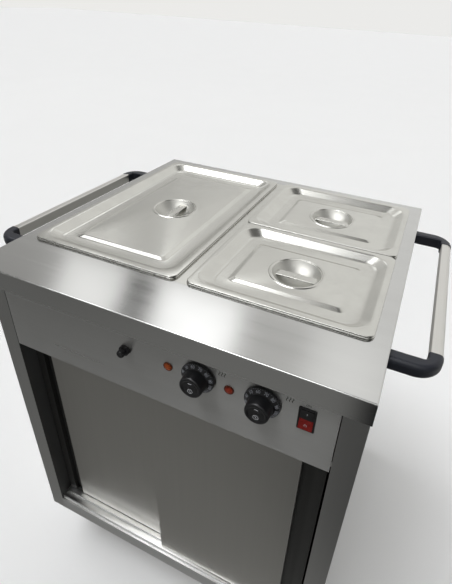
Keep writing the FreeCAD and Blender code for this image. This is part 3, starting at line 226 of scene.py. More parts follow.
def brushed(name, grain, tone, rough, smear=0, turn=0, strip=None):
    """Brushed sheet with its grain along one axis, and its highlights smeared across that.

    Faces that look inwards are darkened and made less metallic, as painted shade. A strip gives how
    far from the middle a dark moulded edging begins.
    """
    finish = Finish(name, Anisotropic=smear, Anisotropic_Rotation=turn)

    def by_axis(along, across):
        return tuple(along if axis == grain else across for axis in "XYZ")

    rolled = by_axis(0.4, 0)
    hair = finish.noise(finish.place(by_axis(3, 190), rolled), 1, 2)
    band = finish.noise(finish.place(by_axis(0.8, 40), rolled), 1, 2)
    smudge = finish.noise(finish.place(), 5, 4, 0.6)
    handled = finish.node("ValToRGB", {"stops": [(0.45, 0), (0.75, 1)]}, smudge)
    wear = finish.spread(band, 0.3, 0.7, 0, 1)
    base = finish.blend(wear * 0.4 + hair * 0.6, scaled(tone, 0.95), scaled(tone, 1.03))
    across, outward = finish.part(finish.place(), "X"), finish.part(finish.outward(), "X")
    # Painted shade: faces that look inwards along X are darkened towards a tenth of the tone and
    # made less metallic.
    inward_shade = finish.spread(across * outward, -0.2, -0.1, 1, 0)
    base = finish.blend(inward_shade, base, scaled(tone, 0.10))
    metal = 1 - inward_shade * 0.5
    if strip:
        edging = finish.spread(abs(across), strip, strip + 0.0006, 0, 1)
        base = finish.blend(edging, base, (0.010, 0.010, 0.009))
        metal = metal * (1 - edging)
    finish.feed(Base_Color=base, Metallic=metal,
                Roughness=rough + wear * 0.02 + handled * 0.03 + hair * 0.03,
                Normal=finish.bump(hair, 0.015, 0.0002))
    return finish.material


def pressed_steel(name, tone, rough, upright_shade_share=0.22):
    """Bright drawn steel of the lids and pans, with wiping marks, and painted shade on upright
    faces.
    """
    finish = Finish(name, Metallic=1)
    wave = finish.noise(finish.place(), 9, 2)
    marks = finish.noise(finish.place((60, 900, 60), (0, 0, 0.5)), 1, 2)
    cross = finish.noise(finish.place((900, 60, 60), (0, 0, 0.2)), 1, 2)
    smudge = finish.noise(finish.place(), 14, 5, 0.65)
    cloud = finish.node("ValToRGB", {"stops": [(0.42, 0), (0.7, 1)]}, smudge)
    # Painted shade: upright faces, such as the lips and walls, are darkened towards a share of the
    # tone.
    upright = finish.spread(abs(finish.part(finish.outward(), "Z")), 0.25, 0.62, 1, 0)
    wiped = finish.blend(cloud, scaled(tone, 1.03), scaled(tone, 0.96))
    finish.feed(Base_Color=finish.blend(upright, wiped, scaled(tone, upright_shade_share)),
                Roughness=rough + cloud * 0.04 + marks * 0.02 + cross * 0.02,
                Normal=finish.bump(wave, 0.05, 0.0004))
    return finish.material


def drawn_aluminium(name, tone):
    """Anodised extrusion with fine die lines along its length."""
    finish = Finish(name, Metallic=1)
    lines = finish.noise(finish.place((900, 3, 900)), 1, 3)
    cloud = finish.noise(finish.place(), 22, 4)
    finish.feed(Base_Color=finish.blend(lines, scaled(tone, 0.92), scaled(tone, 1.04)),
                Roughness=0.26 + cloud * 0.08 + lines * 0.05,
                Normal=finish.bump(lines, 0.15, 0.00005))
    return finish.material


def moulded(name, tone, rough, grain=0.00006, worn=1.5):
    """Moulded plastic with a fine spark-eroded grain and lighter scuffs."""
    finish = Finish(name, Specular_IOR_Level=0.5)
    speck = finish.noise(finish.place(), 900, 2)
    cloud = finish.noise(finish.place(), 30, 4, 0.6)
    scuff = finish.node("ValToRGB", {"stops": [(0.55, 0), (0.8, 1)]}, cloud)
    finish.feed(Base_Color=finish.blend(scuff * 0.5, tone, scaled(tone, worn)),
                Roughness=rough + scuff * 0.08 + speck * 0.06,
                Normal=finish.bump(speck, 0.4, grain))
    return finish.material


def plated(name, tone, rough):
    """Zinc-plated pressings: clouded, faintly blue and yellow."""
    finish = Finish(name, Metallic=1)
    cloud = finish.noise(finish.place(), 45, 5, 0.6)
    tint = finish.noise(finish.place(), 12, 2)
    red, green, blue = tone
    warm, cool = (red * 1.05, green, blue * 0.86), (red * 0.94, green * 0.99, blue * 1.04)
    finish.feed(Base_Color=finish.blend(finish.spread(tint, 0.35, 0.65, 0, 1), cool, warm),
                Roughness=rough + finish.spread(cloud, 0.3, 0.7, -0.06, 0.1),
                Normal=finish.bump(cloud, 0.15, 0.0001))
    return finish.material


def rubber(name, tone):
    """Grey castor rubber, dusty and scuffed where it rolls."""
    finish = Finish(name, Specular_IOR_Level=0.3)
    dust = finish.noise(finish.place(), 60, 6, 0.7)
    pores = finish.noise(finish.place(), 1500, 2)
    veil = finish.node("ValToRGB", {"stops": [(0.4, 0), (0.75, 1)]}, dust)
    finish.feed(Base_Color=finish.blend(veil * 0.6, tone, tuple(c * 1.6 + 0.02 for c in tone)),
                Roughness=0.62 + veil * 0.2, Normal=finish.bump(pores, 0.3, 0.0001))
    return finish.material


def lens(name, tone, deep):
    """A coloured plastic lens, clouded in its depth and lightly pebbled."""
    finish = Finish(name, Specular_IOR_Level=0.2, IOR=1.49)
    facets = finish.cells(finish.place(), 1300)
    cloud = finish.noise(finish.place(), 260, 3)
    finish.feed(Base_Color=finish.blend(finish.spread(cloud, 0.3, 0.7, 0, 1), deep, tone),
                Roughness=0.22 + facets * 0.12, Normal=finish.bump(facets, 0.12, 0.0001))
    return finish.material


def ink(name, tone):
    """Printed marks, slightly uneven."""
    finish = Finish(name, Specular_IOR_Level=0.3)
    patch = finish.noise(finish.place(), 700, 3)
    finish.feed(Base_Color=finish.blend(patch, tone, scaled(tone, 0.8)),
                Roughness=0.55 + patch * 0.1)
    return finish.material


def heater_sheath(name, tone):
    """The dull, heat-tinted sheath of a heating rod."""
    finish = Finish(name, Metallic=1)
    along = finish.noise(finish.place((8, 90, 90)), 1, 4)
    straw = tuple(c * k for c, k in zip(tone, (1.25, 1.0, 0.7)))
    finish.feed(Base_Color=finish.blend(finish.spread(along, 0.35, 0.65, 0, 1), tone, straw),
                Roughness=0.42 + along * 0.2, Normal=finish.bump(along, 0.2, 0.0002))
    return finish.material


STEEL = (0.60, 0.60, 0.59)
LID_STEEL = (0.63, 0.625, 0.59)

top_steel = brushed("worktop_steel", "X", STEEL, 0.12)
front_steel = brushed("front_steel", "X", STEEL, 0.26, 1, 0.25)
side_steel = brushed("side_steel", "Z", STEEL, 0.30, 1)
door_steel = brushed("door_steel", "Z", (0.57, 0.56, 0.53), 0.30, 1, strip=0.2745)
liner_steel = brushed("liner_steel", "X", (0.5, 0.5, 0.49), 0.4)
lid_steel = pressed_steel("lid_steel", LID_STEEL, 0.2)
dish_steel = pressed_steel("dish_steel", (0.57, 0.565, 0.53), 0.46)
pan_steel = pressed_steel("pan_steel", LID_STEEL, 0.24, 0.9)
grip_steel = pressed_steel("grip_steel", scaled(LID_STEEL, 0.97), 0.24)
bar_aluminium = drawn_aluminium("bar_aluminium", (0.70, 0.69, 0.66))
bracket_plastic = moulded("bracket_plastic", (0.010, 0.012, 0.020), 0.42)
dial_plastic = moulded("dial_plastic", (0.006, 0.006, 0.007), 0.3, 0.00003)
switch_plastic = moulded("switch_plastic", (0.006, 0.006, 0.007), 0.36, 0.00004)
nylon = moulded("nylon", (0.62, 0.60, 0.54), 0.45, 0.00004, 1.05)
terminal_plastic = moulded("terminal_plastic", (0.55, 0.50, 0.40), 0.5, 0.00005, 1.1)
thermostat_case = moulded("thermostat_case", (0.10, 0.07, 0.045), 0.5)
gland_plastic = moulded("gland_plastic", (0.03, 0.03, 0.032), 0.45)
zinc = plated("zinc", (0.52, 0.53, 0.53), 0.34)
wheel_rubber = rubber("wheel_rubber", (0.055, 0.056, 0.058))
wheel_plastic = moulded("wheel_plastic", (0.16, 0.165, 0.17), 0.45, 0.00006, 1.25)
pedal_plastic = moulded("pedal_plastic", (0.32, 0.025, 0.02), 0.42)
orange_lens = lens("orange_lens", (0.36, 0.075, 0.010), (0.22, 0.040, 0.008))
orange_rim = lens("orange_rim", (0.13, 0.030, 0.008), (0.08, 0.018, 0.006))
red_lens = lens("red_lens", (0.28, 0.032, 0.009), (0.18, 0.018, 0.007))
red_rim = lens("red_rim", (0.11, 0.020, 0.008), (0.07, 0.013, 0.006))
rocker_red = lens("rocker_red", (0.20, 0.008, 0.005), (0.13, 0.006, 0.004))
white_ink = ink("white_ink", (0.30, 0.31, 0.34))
bright_ink = ink("bright_ink", (0.62, 0.63, 0.66))
black_ink = ink("black_ink", (0.012, 0.012, 0.013))
heating_steel = heater_sheath("heating_steel", (0.22, 0.21, 0.19))

NODE_FINISHES = {
    top_steel: ("top_plate",),
    lid_steel: ("divider_bar",),
    front_steel: ("control_panel", "base_tray", "upper_door_track", "lower_door_track"),
    side_steel: ("left_side_panel", "right_side_panel", "back_panel"),
    door_steel: ("left_door", "right_door"),
    liner_steel: ("cupboard_liner", "shelf_supports", "cupboard_shelf", "well_tank"),
    nylon: ("left_door_glides", "right_door_glides"),
    zinc: ("castor_plates", "front_left_fork", "front_right_fork", "rear_left_fork",
           "rear_right_fork", "handle_screws"),
    pedal_plastic: ("front_left_pedal", "front_right_pedal"),
    bar_aluminium: ("left_handle_bar", "right_handle_bar"),
    bracket_plastic: ("left_front_bracket", "left_rear_bracket", "right_front_bracket",
                      "right_rear_bracket"),
    thermostat_case: ("well_thermostat", "cupboard_thermostat"),
    terminal_plastic: ("terminal_block",),
    heating_steel: ("well_element", "cupboard_element"),
}


def dress_nodes():
    """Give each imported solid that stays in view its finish."""
    for finish, names in NODE_FINISHES.items():
        for name in names:
            paint(nodes[name], finish)


# ---------------------------------------------------------------- modelling helpers

def alone(piece):
    """Make a piece the only one that is selected, and the active one."""
    bpy.ops.object.select_all(action="DESELECT")
    piece.select_set(True)
    bpy.context.view_layer.objects.active = piece


def start(name, add, **sizes):
    """Add a primitive under a name and open its mesh with all of it selected."""
    bpy.ops.object.select_all(action="DESELECT")
    add(**sizes)
    piece = bpy.context.object
    piece.name = piece.data.name = name
    bpy.ops.object.mode_set(mode="EDIT")
    bpy.ops.mesh.select_all(action="SELECT")
    return piece


def open_mesh():
    return bmesh.from_edit_mesh(bpy.context.edit_object.data)


def pick(kind, wanted):
    """Select only the vertices, edges or faces of the open mesh that a test accepts."""
    bpy.ops.mesh.select_mode(type=kind)
    bpy.ops.mesh.select_all(action="DESELECT")
    mesh = open_mesh()
    members = {"VERT": mesh.verts, "EDGE": mesh.edges, "FACE": mesh.faces}[kind]
    for member in members:
        if wanted(member):
            member.select_set(True)
    bmesh.update_edit_mesh(bpy.context.edit_object.data)


def stretch(size, about=(0, 0, 0)):
    """Scale what is selected in the open mesh about a place."""
    bpy.ops.transform.resize(value=size, center_override=about)


def plate(name, width, depth, place=(0, 0, 0)):
    """Start a flat rectangle."""
    piece = start(name, bpy.ops.mesh.primitive_plane_add, size=1, location=place)
    stretch((width, depth, 1), place)
    return piece


def pull(distance):
    """Extrude the selected faces or edges of the open mesh along Z."""
    bpy.ops.mesh.extrude_region_move(TRANSFORM_OT_translate={"value": (0, 0, distance)})


def round_off(offset, segments, kind="EDGES"):
    bpy.ops.mesh.bevel(offset=offset, segments=segments, profile=0.5, affect=kind)


def close(piece, outwards=True):
    """Merge doubles, turn the faces outwards and leave the piece's mesh."""
    bpy.ops.mesh.select_mode(type="VERT")
    bpy.ops.mesh.select_all(action="SELECT")
    bpy.ops.mesh.remove_doubles(threshold=0.000005)
    if outwards:
        bpy.ops.mesh.normals_make_consistent(inside=False)
    bpy.ops.object.mode_set(mode="OBJECT")
    alone(piece)
    bpy.ops.object.transform_apply(location=True, rotation=True, scale=True)
    return piece


def shaped(piece, kind, **settings):
    """Add a modifier, set it and apply it."""
    alone(piece)
    modifier = piece.modifiers.new(kind.title(), kind)
    for name, value in settings.items():
        setattr(modifier, name, value)
    bpy.ops.object.modifier_apply(modifier=modifier.name)
    return piece


def paint(piece, *finishes):
    """Give a piece these finishes and no others."""
    piece.data.materials.clear()
    for finish in finishes:
        piece.data.materials.append(finish)


def softened(piece, width, segments, degrees):
    """Round the edges of a closed piece that are sharper than an angle."""
    return shaped(piece, "BEVEL", width=width, segments=segments, limit_method="ANGLE",
                  angle_limit=math.radians(degrees))


def smooth(piece, degrees=30):
    alone(piece)
    bpy.ops.object.shade_smooth_by_angle(angle=math.radians(degrees))
    return piece


def turned_to(piece, x=0, y=0, z=0):
    """Turn a piece about the origin by angles in degrees and fix its new place in its mesh."""
    alone(piece)
    piece.rotation_euler = (math.radians(x), math.radians(y), math.radians(z))
    bpy.ops.object.transform_apply(location=True, rotation=True, scale=True)
    return piece


def moved(piece, place):
    alone(piece)
    piece.location = place
    bpy.ops.object.transform_apply(location=True, rotation=True, scale=True)
    return piece


def copied(piece, name):
    """A copy of a piece with its own mesh."""
    twin = piece.copy()
    twin.data = piece.data.copy()
    twin.name = twin.data.name = name
    bpy.context.scene.collection.objects.link(twin)
    return twin


def joined(name, *pieces):
    alone(pieces[0])
    for piece in pieces[1:]:
        piece.select_set(True)
    bpy.ops.object.join()
    pieces[0].name = pieces[0].data.name = name
    return pieces[0]


def fit(piece, body, finish, slot, *stands_for):
    """Give a piece its finish and its body, and hide the solids that it stands for."""
    if finish:
        paint(piece, finish)
    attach(piece, body)
    if stands_for:
        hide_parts(*stands_for)
    return piece


# ---------------------------------------------------------------- pressed sheets

CORNER_STEPS = 15
RING_POINTS = 4 * (CORNER_STEPS + 1)
BRIDGE_LIFT = 0.5


class Oblong:
    """A level ring of a pressing: a rounded rectangle a set inset inside the sheet's edge."""

    def __init__(self, inset, corner, z, fold=0):
        self.inset, self.corner, self.z, self.fold = inset, corner, z, fold

    def draw(self, centre, width, depth):
        place = (centre[0], centre[1], self.z + BRIDGE_LIFT)
        bpy.ops.mesh.primitive_plane_add(size=1, location=place)
        stretch((width - 2 * self.inset, depth - 2 * self.inset, 1), place)
        round_off(self.corner, CORNER_STEPS, "VERTICES")
        bpy.ops.mesh.select_linked()
        bpy.ops.mesh.delete(type="ONLY_FACE")


class Round:
    """A level ring of a pressing: a circle about its middle."""

    def __init__(self, radius, z, fold=0):
        self.radius, self.z, self.fold = radius, z, fold

    def draw(self, centre, *_):
        bpy.ops.mesh.primitive_circle_add(vertices=RING_POINTS, radius=self.radius,
                                          location=(centre[0], centre[1], self.z + BRIDGE_LIFT))


def mark_ring(number):
    """Write a ring's number on the vertices of the open mesh that have none yet."""
    mesh = open_mesh()
    layers = mesh.verts.layers.int
    marks = layers.get("ring") or layers.new("ring")
    for vertex in mesh.verts:
        if vertex[marks] == 0:
            vertex[marks] = number
    bmesh.update_edit_mesh(bpy.context.edit_object.data)


def pick_rings(*numbers):
    """Select the edges that lie in one of the numbered rings."""
    marks = open_mesh().verts.layers.int["ring"]

    def in_ring(edge):
        first, second = (vertex[marks] for vertex in edge.verts)
        return first == second and first in numbers

    pick("EDGE", in_ring)


def facing_up(sheet):
    """Turn an open sheet's faces so that most of it faces up."""
    if sum(face.normal.z * face.area for face in sheet.data.polygons) < 0:
        sheet.data.flip_normals()


def pressing(name, low, high, rings, gauge):
    """A pressed sheet drawn through level rings, with its folds rounded, then given its gauge."""
    centre = ((low[0] + high[0]) / 2, (low[1] + high[1]) / 2)
    width, depth = high[0] - low[0], high[1] - low[1]
    piece = start(name, bpy.ops.mesh.primitive_plane_add, size=1, location=(*centre, 0))
    bpy.ops.mesh.delete(type="VERT")
    bpy.ops.mesh.select_mode(type="VERT")
    for number, ring in enumerate(rings, start=1):
        bpy.ops.mesh.select_all(action="DESELECT")
        ring.draw(centre, width, depth)
        mark_ring(number)
        if number > 1:
            pick_rings(number - 1, number)
            bpy.ops.mesh.bridge_edge_loops()
        pick_rings(number)
        bpy.ops.transform.translate(value=(0, 0, -BRIDGE_LIFT))
        bpy.ops.mesh.select_mode(type="VERT")
    pick_rings(len(rings))
    bpy.ops.mesh.edge_face_add()
    for number, ring in enumerate(rings, start=1):
        if ring.fold:
            pick_rings(number)
            round_off(ring.fold, 4)
    facing_up(close(piece))
    shaped(piece, "SOLIDIFY", thickness=gauge, offset=-1)
    piece.data.attributes.remove(piece.data.attributes["ring"])
    return smooth(piece, 35)


# ---------------------------------------------------------------- lids and pans

SHEET = 0.0008
LIP, CURL = 0.0026, 0.0009
RIM_CORNER = 0.014
LID_FLAT, LID_SLOPE, LID_FLOOR, PANEL_SLOPE = 0.011, 0.019, 0.025, 0.009
LID_STEP, PANEL_RISE = 0.013, 0.004
STEP_CORNER, FLOOR_CORNER, PANEL_CORNER = 0.034, 0.028, 0.009
DISH_RADIUS, DISH_DEPTH = 0.046, 0.023
BEAD_RADIUS, BEAD_OFFSET, BEAD_SUNK = 0.0024, 0.0039, 0.001
DISH_STEPS = 9


def dish_rings(panel):
    """The bead round the dish and the dish's bowl, from the panel inwards."""
    middle = DISH_RADIUS + BEAD_OFFSET
    crest = panel - BEAD_SUNK + BEAD_RADIUS
    rings = [Round(middle + BEAD_RADIUS + 0.0004, panel, 0.0006),
             Round(middle + 0.0011, crest, 0.0005), Round(middle - 0.0011, crest, 0.0005),
             Round(middle - BEAD_RADIUS, panel - 0.0004, 0.0005)]
    ball = (DISH_RADIUS ** 2 + DISH_DEPTH ** 2) / (2 * DISH_DEPTH)
    rim_angle = math.asin(DISH_RADIUS / ball)
    bottom = panel - DISH_DEPTH
    for step in range(DISH_STEPS):
        angle = rim_angle * (1 - step / DISH_STEPS)
        rings.append(Round(ball * math.sin(angle), bottom + ball * (1 - math.cos(angle))))
    rings.append(Round(0.0025, bottom))
    return rings


def rolled_rim(top):
    """The rings of a sheet's lip, which curls down round its edge."""
    return [Oblong(CURL, RIM_CORNER, top - LIP), Oblong(0, RIM_CORNER, top - LIP / 2, 0.0008),
            Oblong(CURL, RIM_CORNER, top, 0.0007)]


def make_lid(name):
    """A pressed lid: lipped rim, sunk floor, raised panel, and a beaded dish."""
    low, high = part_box(name)
    top = high.z
    floor = top - LID_STEP
    panel = floor + PANEL_RISE
    sunk = LID_FLAT + LID_SLOPE
    crest = sunk + LID_FLOOR + PANEL_SLOPE
    steps = [Oblong(LID_FLAT, STEP_CORNER, top, 0.0035), Oblong(sunk, FLOOR_CORNER, floor, 0.006),
             Oblong(sunk + LID_FLOOR, PANEL_CORNER, floor, 0.0022),
             Oblong(crest, PANEL_CORNER, panel, 0.0022)]
    rings = rolled_rim(top) + steps + dish_rings(panel)
    piece = pressing(name + "_pressing", low, high, rings, SHEET)
    fit(piece, name, lid_steel, "stainless_ware", name)
    piece.data.materials.append(dish_steel)
    middle = (low + high) / 2
    for face in piece.data.polygons:
        if (face.center.xy - middle.xy).length < DISH_RADIUS:
            face.material_index = 1
    return piece


GRIP_RIB, GRIP_BEND, BEND_START, GRIP_FIT = 0.0006, 0.0012, 0.86, 0.885


def make_grip(name, along):
    """The strap across a lid's dish: its long edges turned down, a rib along its middle."""
    low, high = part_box(name + "_grip")
    centre = (low + high) / 2
    across = 1 - along
    length, width = high[along] - low[along], high[across] - low[across]
    size = (width, length) if along else (length, width)
    piece = plate(name + "_strap", *size, (centre.x, centre.y, high.z - GRIP_RIB))
    bpy.ops.mesh.subdivide(number_cuts=11)

    def side(vertex):
        return abs((piece.matrix_world @ vertex.co)[across] - centre[across])

    def long_side(edge):
        return all(side(vertex) > width * 0.49 for vertex in edge.verts)

    def level(edge):
        run = edge.verts[0].co - edge.verts[1].co
        return abs(run[across]) < 0.0001 and abs(run.z) < 0.0001

    pick("EDGE", lambda edge: edge.is_boundary and long_side(edge))
    pull(low.z - high.z + 2 * GRIP_RIB)
    pick("EDGE", lambda edge: not edge.is_boundary and long_side(edge) and level(edge))
    round_off(0.0014, 4)
    pick("VERT", lambda v: side(v) < width * 0.04 and
         abs((piece.matrix_world @ v.co)[along] - centre[along]) < length * 0.36)
    bpy.ops.transform.translate(value=(0, 0, GRIP_RIB))
    facing_up(close(piece))
    reach = length / 2
    for vertex in piece.data.vertices:
        outward = vertex.co[along] - centre[along]
        lateral = vertex.co[across] - centre[across]
        limit = math.sqrt(max(DISH_RADIUS ** 2 - lateral ** 2, 0)) * GRIP_FIT
        vertex.co[along] = centre[along] + outward * min(1, limit / reach)
        vertex.co.z -= GRIP_BEND * max(0, abs(outward) / reach - BEND_START) / (1 - BEND_START)
    shaped(piece, "SOLIDIFY", thickness=0.001, offset=-1)
    smooth(softened(piece, 0.0003, 2, 50), 40)
    welds = make_welds(name + "_welds", centre, along, length, high.z)
    piece = joined(name + "_strap", piece, welds)
    return fit(piece, name, grip_steel, "stainless_ware", name + "_grip")


WELD = ((0.0019, -0.0004), (0.0019, 0.0), (0.0017, 0.0003), (0.0012, 0.0005), (0.0005, 0.00055))


def make_welds(name, centre, along, length, top):
    """The two small round spot welds by the ends of a grip."""
    welds = []
    for number, side in enumerate((-1, 1)):
        place = [centre.x, centre.y, top - GRIP_BEND]
        place[along] += side * length * 0.40
        dot = turned("%s_%d" % (name, number), WELD, 24)
        welds.append(moved(smooth(dot, 60), place))
    return joined(name, *welds)


PAN_RIM, PAN_DRAFT, WALL_CORNER = 0.0105, 0.009, 0.034


def make_pan(name):
    """A food pan: a lipped flat rim and a tapered bin with a rounded foot."""
    low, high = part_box(name)
    foot, ledge = PAN_RIM + PAN_DRAFT, PAN_RIM + PAN_DRAFT * 0.14
    bin_rings = [Oblong(PAN_RIM, WALL_CORNER - PAN_RIM / 2, high.z, 0.002),
                 Oblong(ledge, WALL_CORNER - PAN_RIM / 2, high.z - 0.022, 0.002),
                 Oblong(ledge + 0.0015, WALL_CORNER - 0.008, high.z - 0.025, 0.002),
                 Oblong(foot, WALL_CORNER - foot / 2, low.z + SHEET, 0.016),
                 Oblong(foot + 0.05, 0.02, low.z + SHEET)]
    piece = pressing(name + "_pressing", low, high, rolled_rim(high.z) + bin_rings, SHEET)
    return fit(piece, name, pan_steel, "stainless_ware", name)


# ---------------------------------------------------------------- turned pieces

def turned(name, profile, steps=96, bored=False):
    """A piece turned about Z from rings of (radius, height), closed or bored right through."""
    piece = start(name, bpy.ops.mesh.primitive_circle_add, vertices=steps, radius=profile[0][0],
                  fill_type="NOTHING" if bored else "NGON", location=(0, 0, profile[0][1]))
    bpy.ops.mesh.select_mode(type="EDGE")
    for (radius, height), (next_radius, next_height) in zip(profile, profile[1:]):
        bpy.ops.mesh.extrude_edges_move(
            TRANSFORM_OT_translate={"value": (0, 0, next_height - height)})
        scale = next_radius / radius
        stretch((scale, scale, 1), (0, 0, next_height))
    if bored:
        pick("EDGE", lambda edge: edge.is_boundary)
        bpy.ops.mesh.bridge_edge_loops()
    else:
        bpy.ops.mesh.edge_face_add()
    return close(piece)


def fluted(piece, bottom, top, inner, outer, cut):
    """Draw in a turned piece between two heights and two radii, by a share that goes by angle."""
    for vertex in piece.data.vertices:
        radius = math.hypot(vertex.co.x, vertex.co.y)
        if bottom < vertex.co.z < top and inner < radius < outer:
            share = 1 - cut(math.atan2(vertex.co.y, vertex.co.x))
            vertex.co.x *= share
            vertex.co.y *= share


PANEL_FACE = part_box("control_panel")[0].y
PRINT = 0.00012


def panel_place(name):
    """The middle of a node, on the face of the control panel."""
    low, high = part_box(name)
    return (low.x + high.x) / 2, PANEL_FACE, (low.z + high.z) / 2


def on_front(piece, place):
    """Turn a piece from facing up to facing the front, and put it in its place."""
    return moved(turned_to(piece, x=90), place)


def written(name, text, size):
    """Raised print: a text made into a mesh, lying on the ground with its middle at the origin."""
    bpy.ops.object.select_all(action="DESELECT")
    bpy.ops.object.text_add(location=(0, 0, 0))
    words = bpy.context.object
    words.data.body, words.data.size = text, size
    words.data.extrude, words.data.resolution_u = PRINT, 3
    words.data.align_x = words.data.align_y = "CENTER"
    alone(words)
    bpy.ops.object.convert(target="MESH")
    piece = bpy.context.object
    piece.name = piece.data.name = name
    return piece


def bar_mark(name, length, width):
    """A printed dash lying on the ground, long along Y, with its ends rounded."""
    piece = start(name, bpy.ops.mesh.primitive_cube_add, size=1)
    stretch((width, length, 2 * PRINT))
    pick("EDGE", lambda edge: abs((edge.verts[0].co - edge.verts[1].co).z) > 0.00001)
    round_off(width * 0.45, 3)
    return close(piece)


def ring_mark(name, radius, inner, steps):
    """A printed ring lying on the ground."""
    thick = 0.00015
    return turned(name, [(radius, 0), (radius, thick), (inner, thick), (inner, 0)], steps, True)


# ---------------------------------------------------------------- control panel

DIAL_RADIUS, KNOB_RADIUS = 0.0293, 0.0203
DIAL_STAND, DIAL_EDGE, DIAL_SKIRT, DIAL_REACH = 0.0015, 0.0045, 0.008, 0.0295
SKIRT_SLOPE = math.atan2(DIAL_SKIRT - DIAL_EDGE, DIAL_RADIUS - KNOB_RADIUS - 0.0008)
DIAL_NUMBERS = ("0", "30", "40", "50", "60", "70", "80", "90", "100", "110")
DIAL_SWEEP = 270
FIGURE_SIZE, FIGURE_RADIUS = 0.0074, 0.0246
TICK_RADIUS, TICK_WIDTH, LONG_TICK, SHORT_TICK = 0.0285, 0.0005, 0.0014, 0.0009
RING_PITCH, RING_HALF = 0.0017, 0.0005


def skirt_place(radius):
    """Height above the panel of the skirt's sloping face at a radius."""
    return DIAL_STAND + DIAL_EDGE + (DIAL_RADIUS - radius) * math.tan(SKIRT_SLOPE)


def on_skirt(mark, radius, angle):
    """Lay a mark on the skirt, upright as read from the dial's middle, at an angle from its top."""
    turned_to(mark, x=-math.degrees(SKIRT_SLOPE))
    moved(mark, (0, radius, skirt_place(radius) + 0.00006))
    return turned_to(mark, z=-angle)


def make_dial_scale(name):
    """The numbers and ticks round a dial's skirt."""
    marks = []
    for number, text in enumerate(DIAL_NUMBERS):
        angle = -DIAL_SWEEP / 2 + DIAL_SWEEP * number / (len(DIAL_NUMBERS) - 1)
        figure = written("%s_number_%d" % (name, number), text, FIGURE_SIZE)
        marks.append(on_skirt(figure, FIGURE_RADIUS, angle))
    ticks = 4 * (len(DIAL_NUMBERS) - 1)
    for tick in range(ticks + 1):
        angle = -DIAL_SWEEP / 2 + DIAL_SWEEP * tick / ticks
        length = SHORT_TICK if tick % 4 else LONG_TICK
        dash = bar_mark("%s_tick_%d" % (name, tick), length, TICK_WIDTH)
        marks.append(on_skirt(dash, TICK_RADIUS, angle))
    return joined(name, *marks)


def make_knob(name):
    """A dial's moulding: skirt, fluted knob, and the fine rings turned into its front."""
    root = DIAL_STAND + DIAL_SKIRT
    front = KNOB_RADIUS - 0.0008
    rim = DIAL_STAND + DIAL_EDGE
    profile = [(DIAL_RADIUS - 0.001, DIAL_STAND), (DIAL_RADIUS - 0.0002, DIAL_STAND + 0.0003),
               (DIAL_RADIUS, DIAL_STAND + 0.0012), (DIAL_RADIUS, rim - 0.0012),
               (DIAL_RADIUS - 0.0002, rim - 0.0004), (DIAL_RADIUS - 0.0009, rim + 0.0002),
               (KNOB_RADIUS + 0.0012, root - 0.0003), (KNOB_RADIUS + 0.0002, root + 0.0004),
               (KNOB_RADIUS, root + 0.0012), (front + 0.0001, DIAL_REACH - 0.0034),
               (front - 0.0002, DIAL_REACH - 0.0022), (front - 0.0010, DIAL_REACH - 0.0009),
               (front - 0.0022, DIAL_REACH - 0.0002), (front - 0.0034, DIAL_REACH),
               (front - 0.0048, DIAL_REACH - 0.0001), (front - 0.0058, DIAL_REACH - 0.0008)]
    radius, face = front - 0.0064, DIAL_REACH - 0.0010
    while radius > 0.004:
        profile += [(radius, face), (radius - RING_HALF, face - RING_HALF / 2),
                    (radius - 2 * RING_HALF, face)]
        radius -= RING_PITCH
    knob = turned(name, profile, 120)
    fluted(knob, root + 0.001, DIAL_REACH - 0.002, KNOB_RADIUS - 0.0030, KNOB_RADIUS + 0.0001,
           lambda angle: 0.0016 * (0.5 + 0.5 * math.cos(60 * angle)))
    return smooth(knob, 32)


def make_dials():
    """Both dials, made once and copied, each with its scale and pointer marks."""
    knob = make_knob("dial_moulding")
    scale = make_dial_scale("dial_scale")
    front = DIAL_REACH - 0.00095
    pointer = moved(turned_to(bar_mark("dial_pointer", 0.0065, 0.0008), z=90), (0, 0.0095, front))
    ring = ring_mark("dial_ring", 0.0044, 0.0038, 48)
    stem = turned_to(bar_mark("dial_stem", 0.0050, 0.0006), z=35)
    sign = [moved(mark, (0, -0.0062, front)) for mark in (ring, stem)]
    signs = joined("dial_signs", pointer, *sign)
    for name in ("well_dial", "cupboard_dial"):
        place = panel_place(name)
        body = on_front(copied(knob, name + "_moulding"), place)
        fit(body, name, dial_plastic, "dial_black", name)
        fit(on_front(copied(scale, name + "_scale"), place), name, white_ink, "dial_black")
        fit(on_front(copied(signs, name + "_signs"), place), name, bright_ink, "dial_black")
    for spare in (knob, scale, signs):
        bpy.data.objects.remove(spare)


def make_lights():
    """The two neon lights: a rim pressed on the panel and a stepped, domed lens."""
    rim = [(0.006014, -0.0200), (0.006014, -0.0002), (0.0081, 0.0), (0.0085, 0.0004),
           (0.0085, 0.0010), (0.0082, 0.0017), (0.0074, 0.0020), (0.0066, 0.0019), (0.0063, 0.0014)]
    dome = [(0.0062, 0.0010), (0.0062, 0.0016), (0.0060, 0.0022), (0.0053, 0.0026),
            (0.0050, 0.0023), (0.0047, 0.0023), (0.0044, 0.0028), (0.0034, 0.0033),
            (0.0020, 0.0036), (0.0007, 0.0037)]
    for name, colour, edge, slot in (("well_light", orange_lens, orange_rim, "light_orange"),
                                     ("cupboard_light", red_lens, red_rim, "light_red")):
        place = panel_place(name)
        bezel = smooth(turned(name + "_bezel", rim, 64), 40)
        fit(on_front(bezel, place), "cabinet", edge, slot, name)
        cap = smooth(turned(name + "_lens", dome, 64), 30)
        fit(on_front(cap, place), "cabinet", colour, slot)


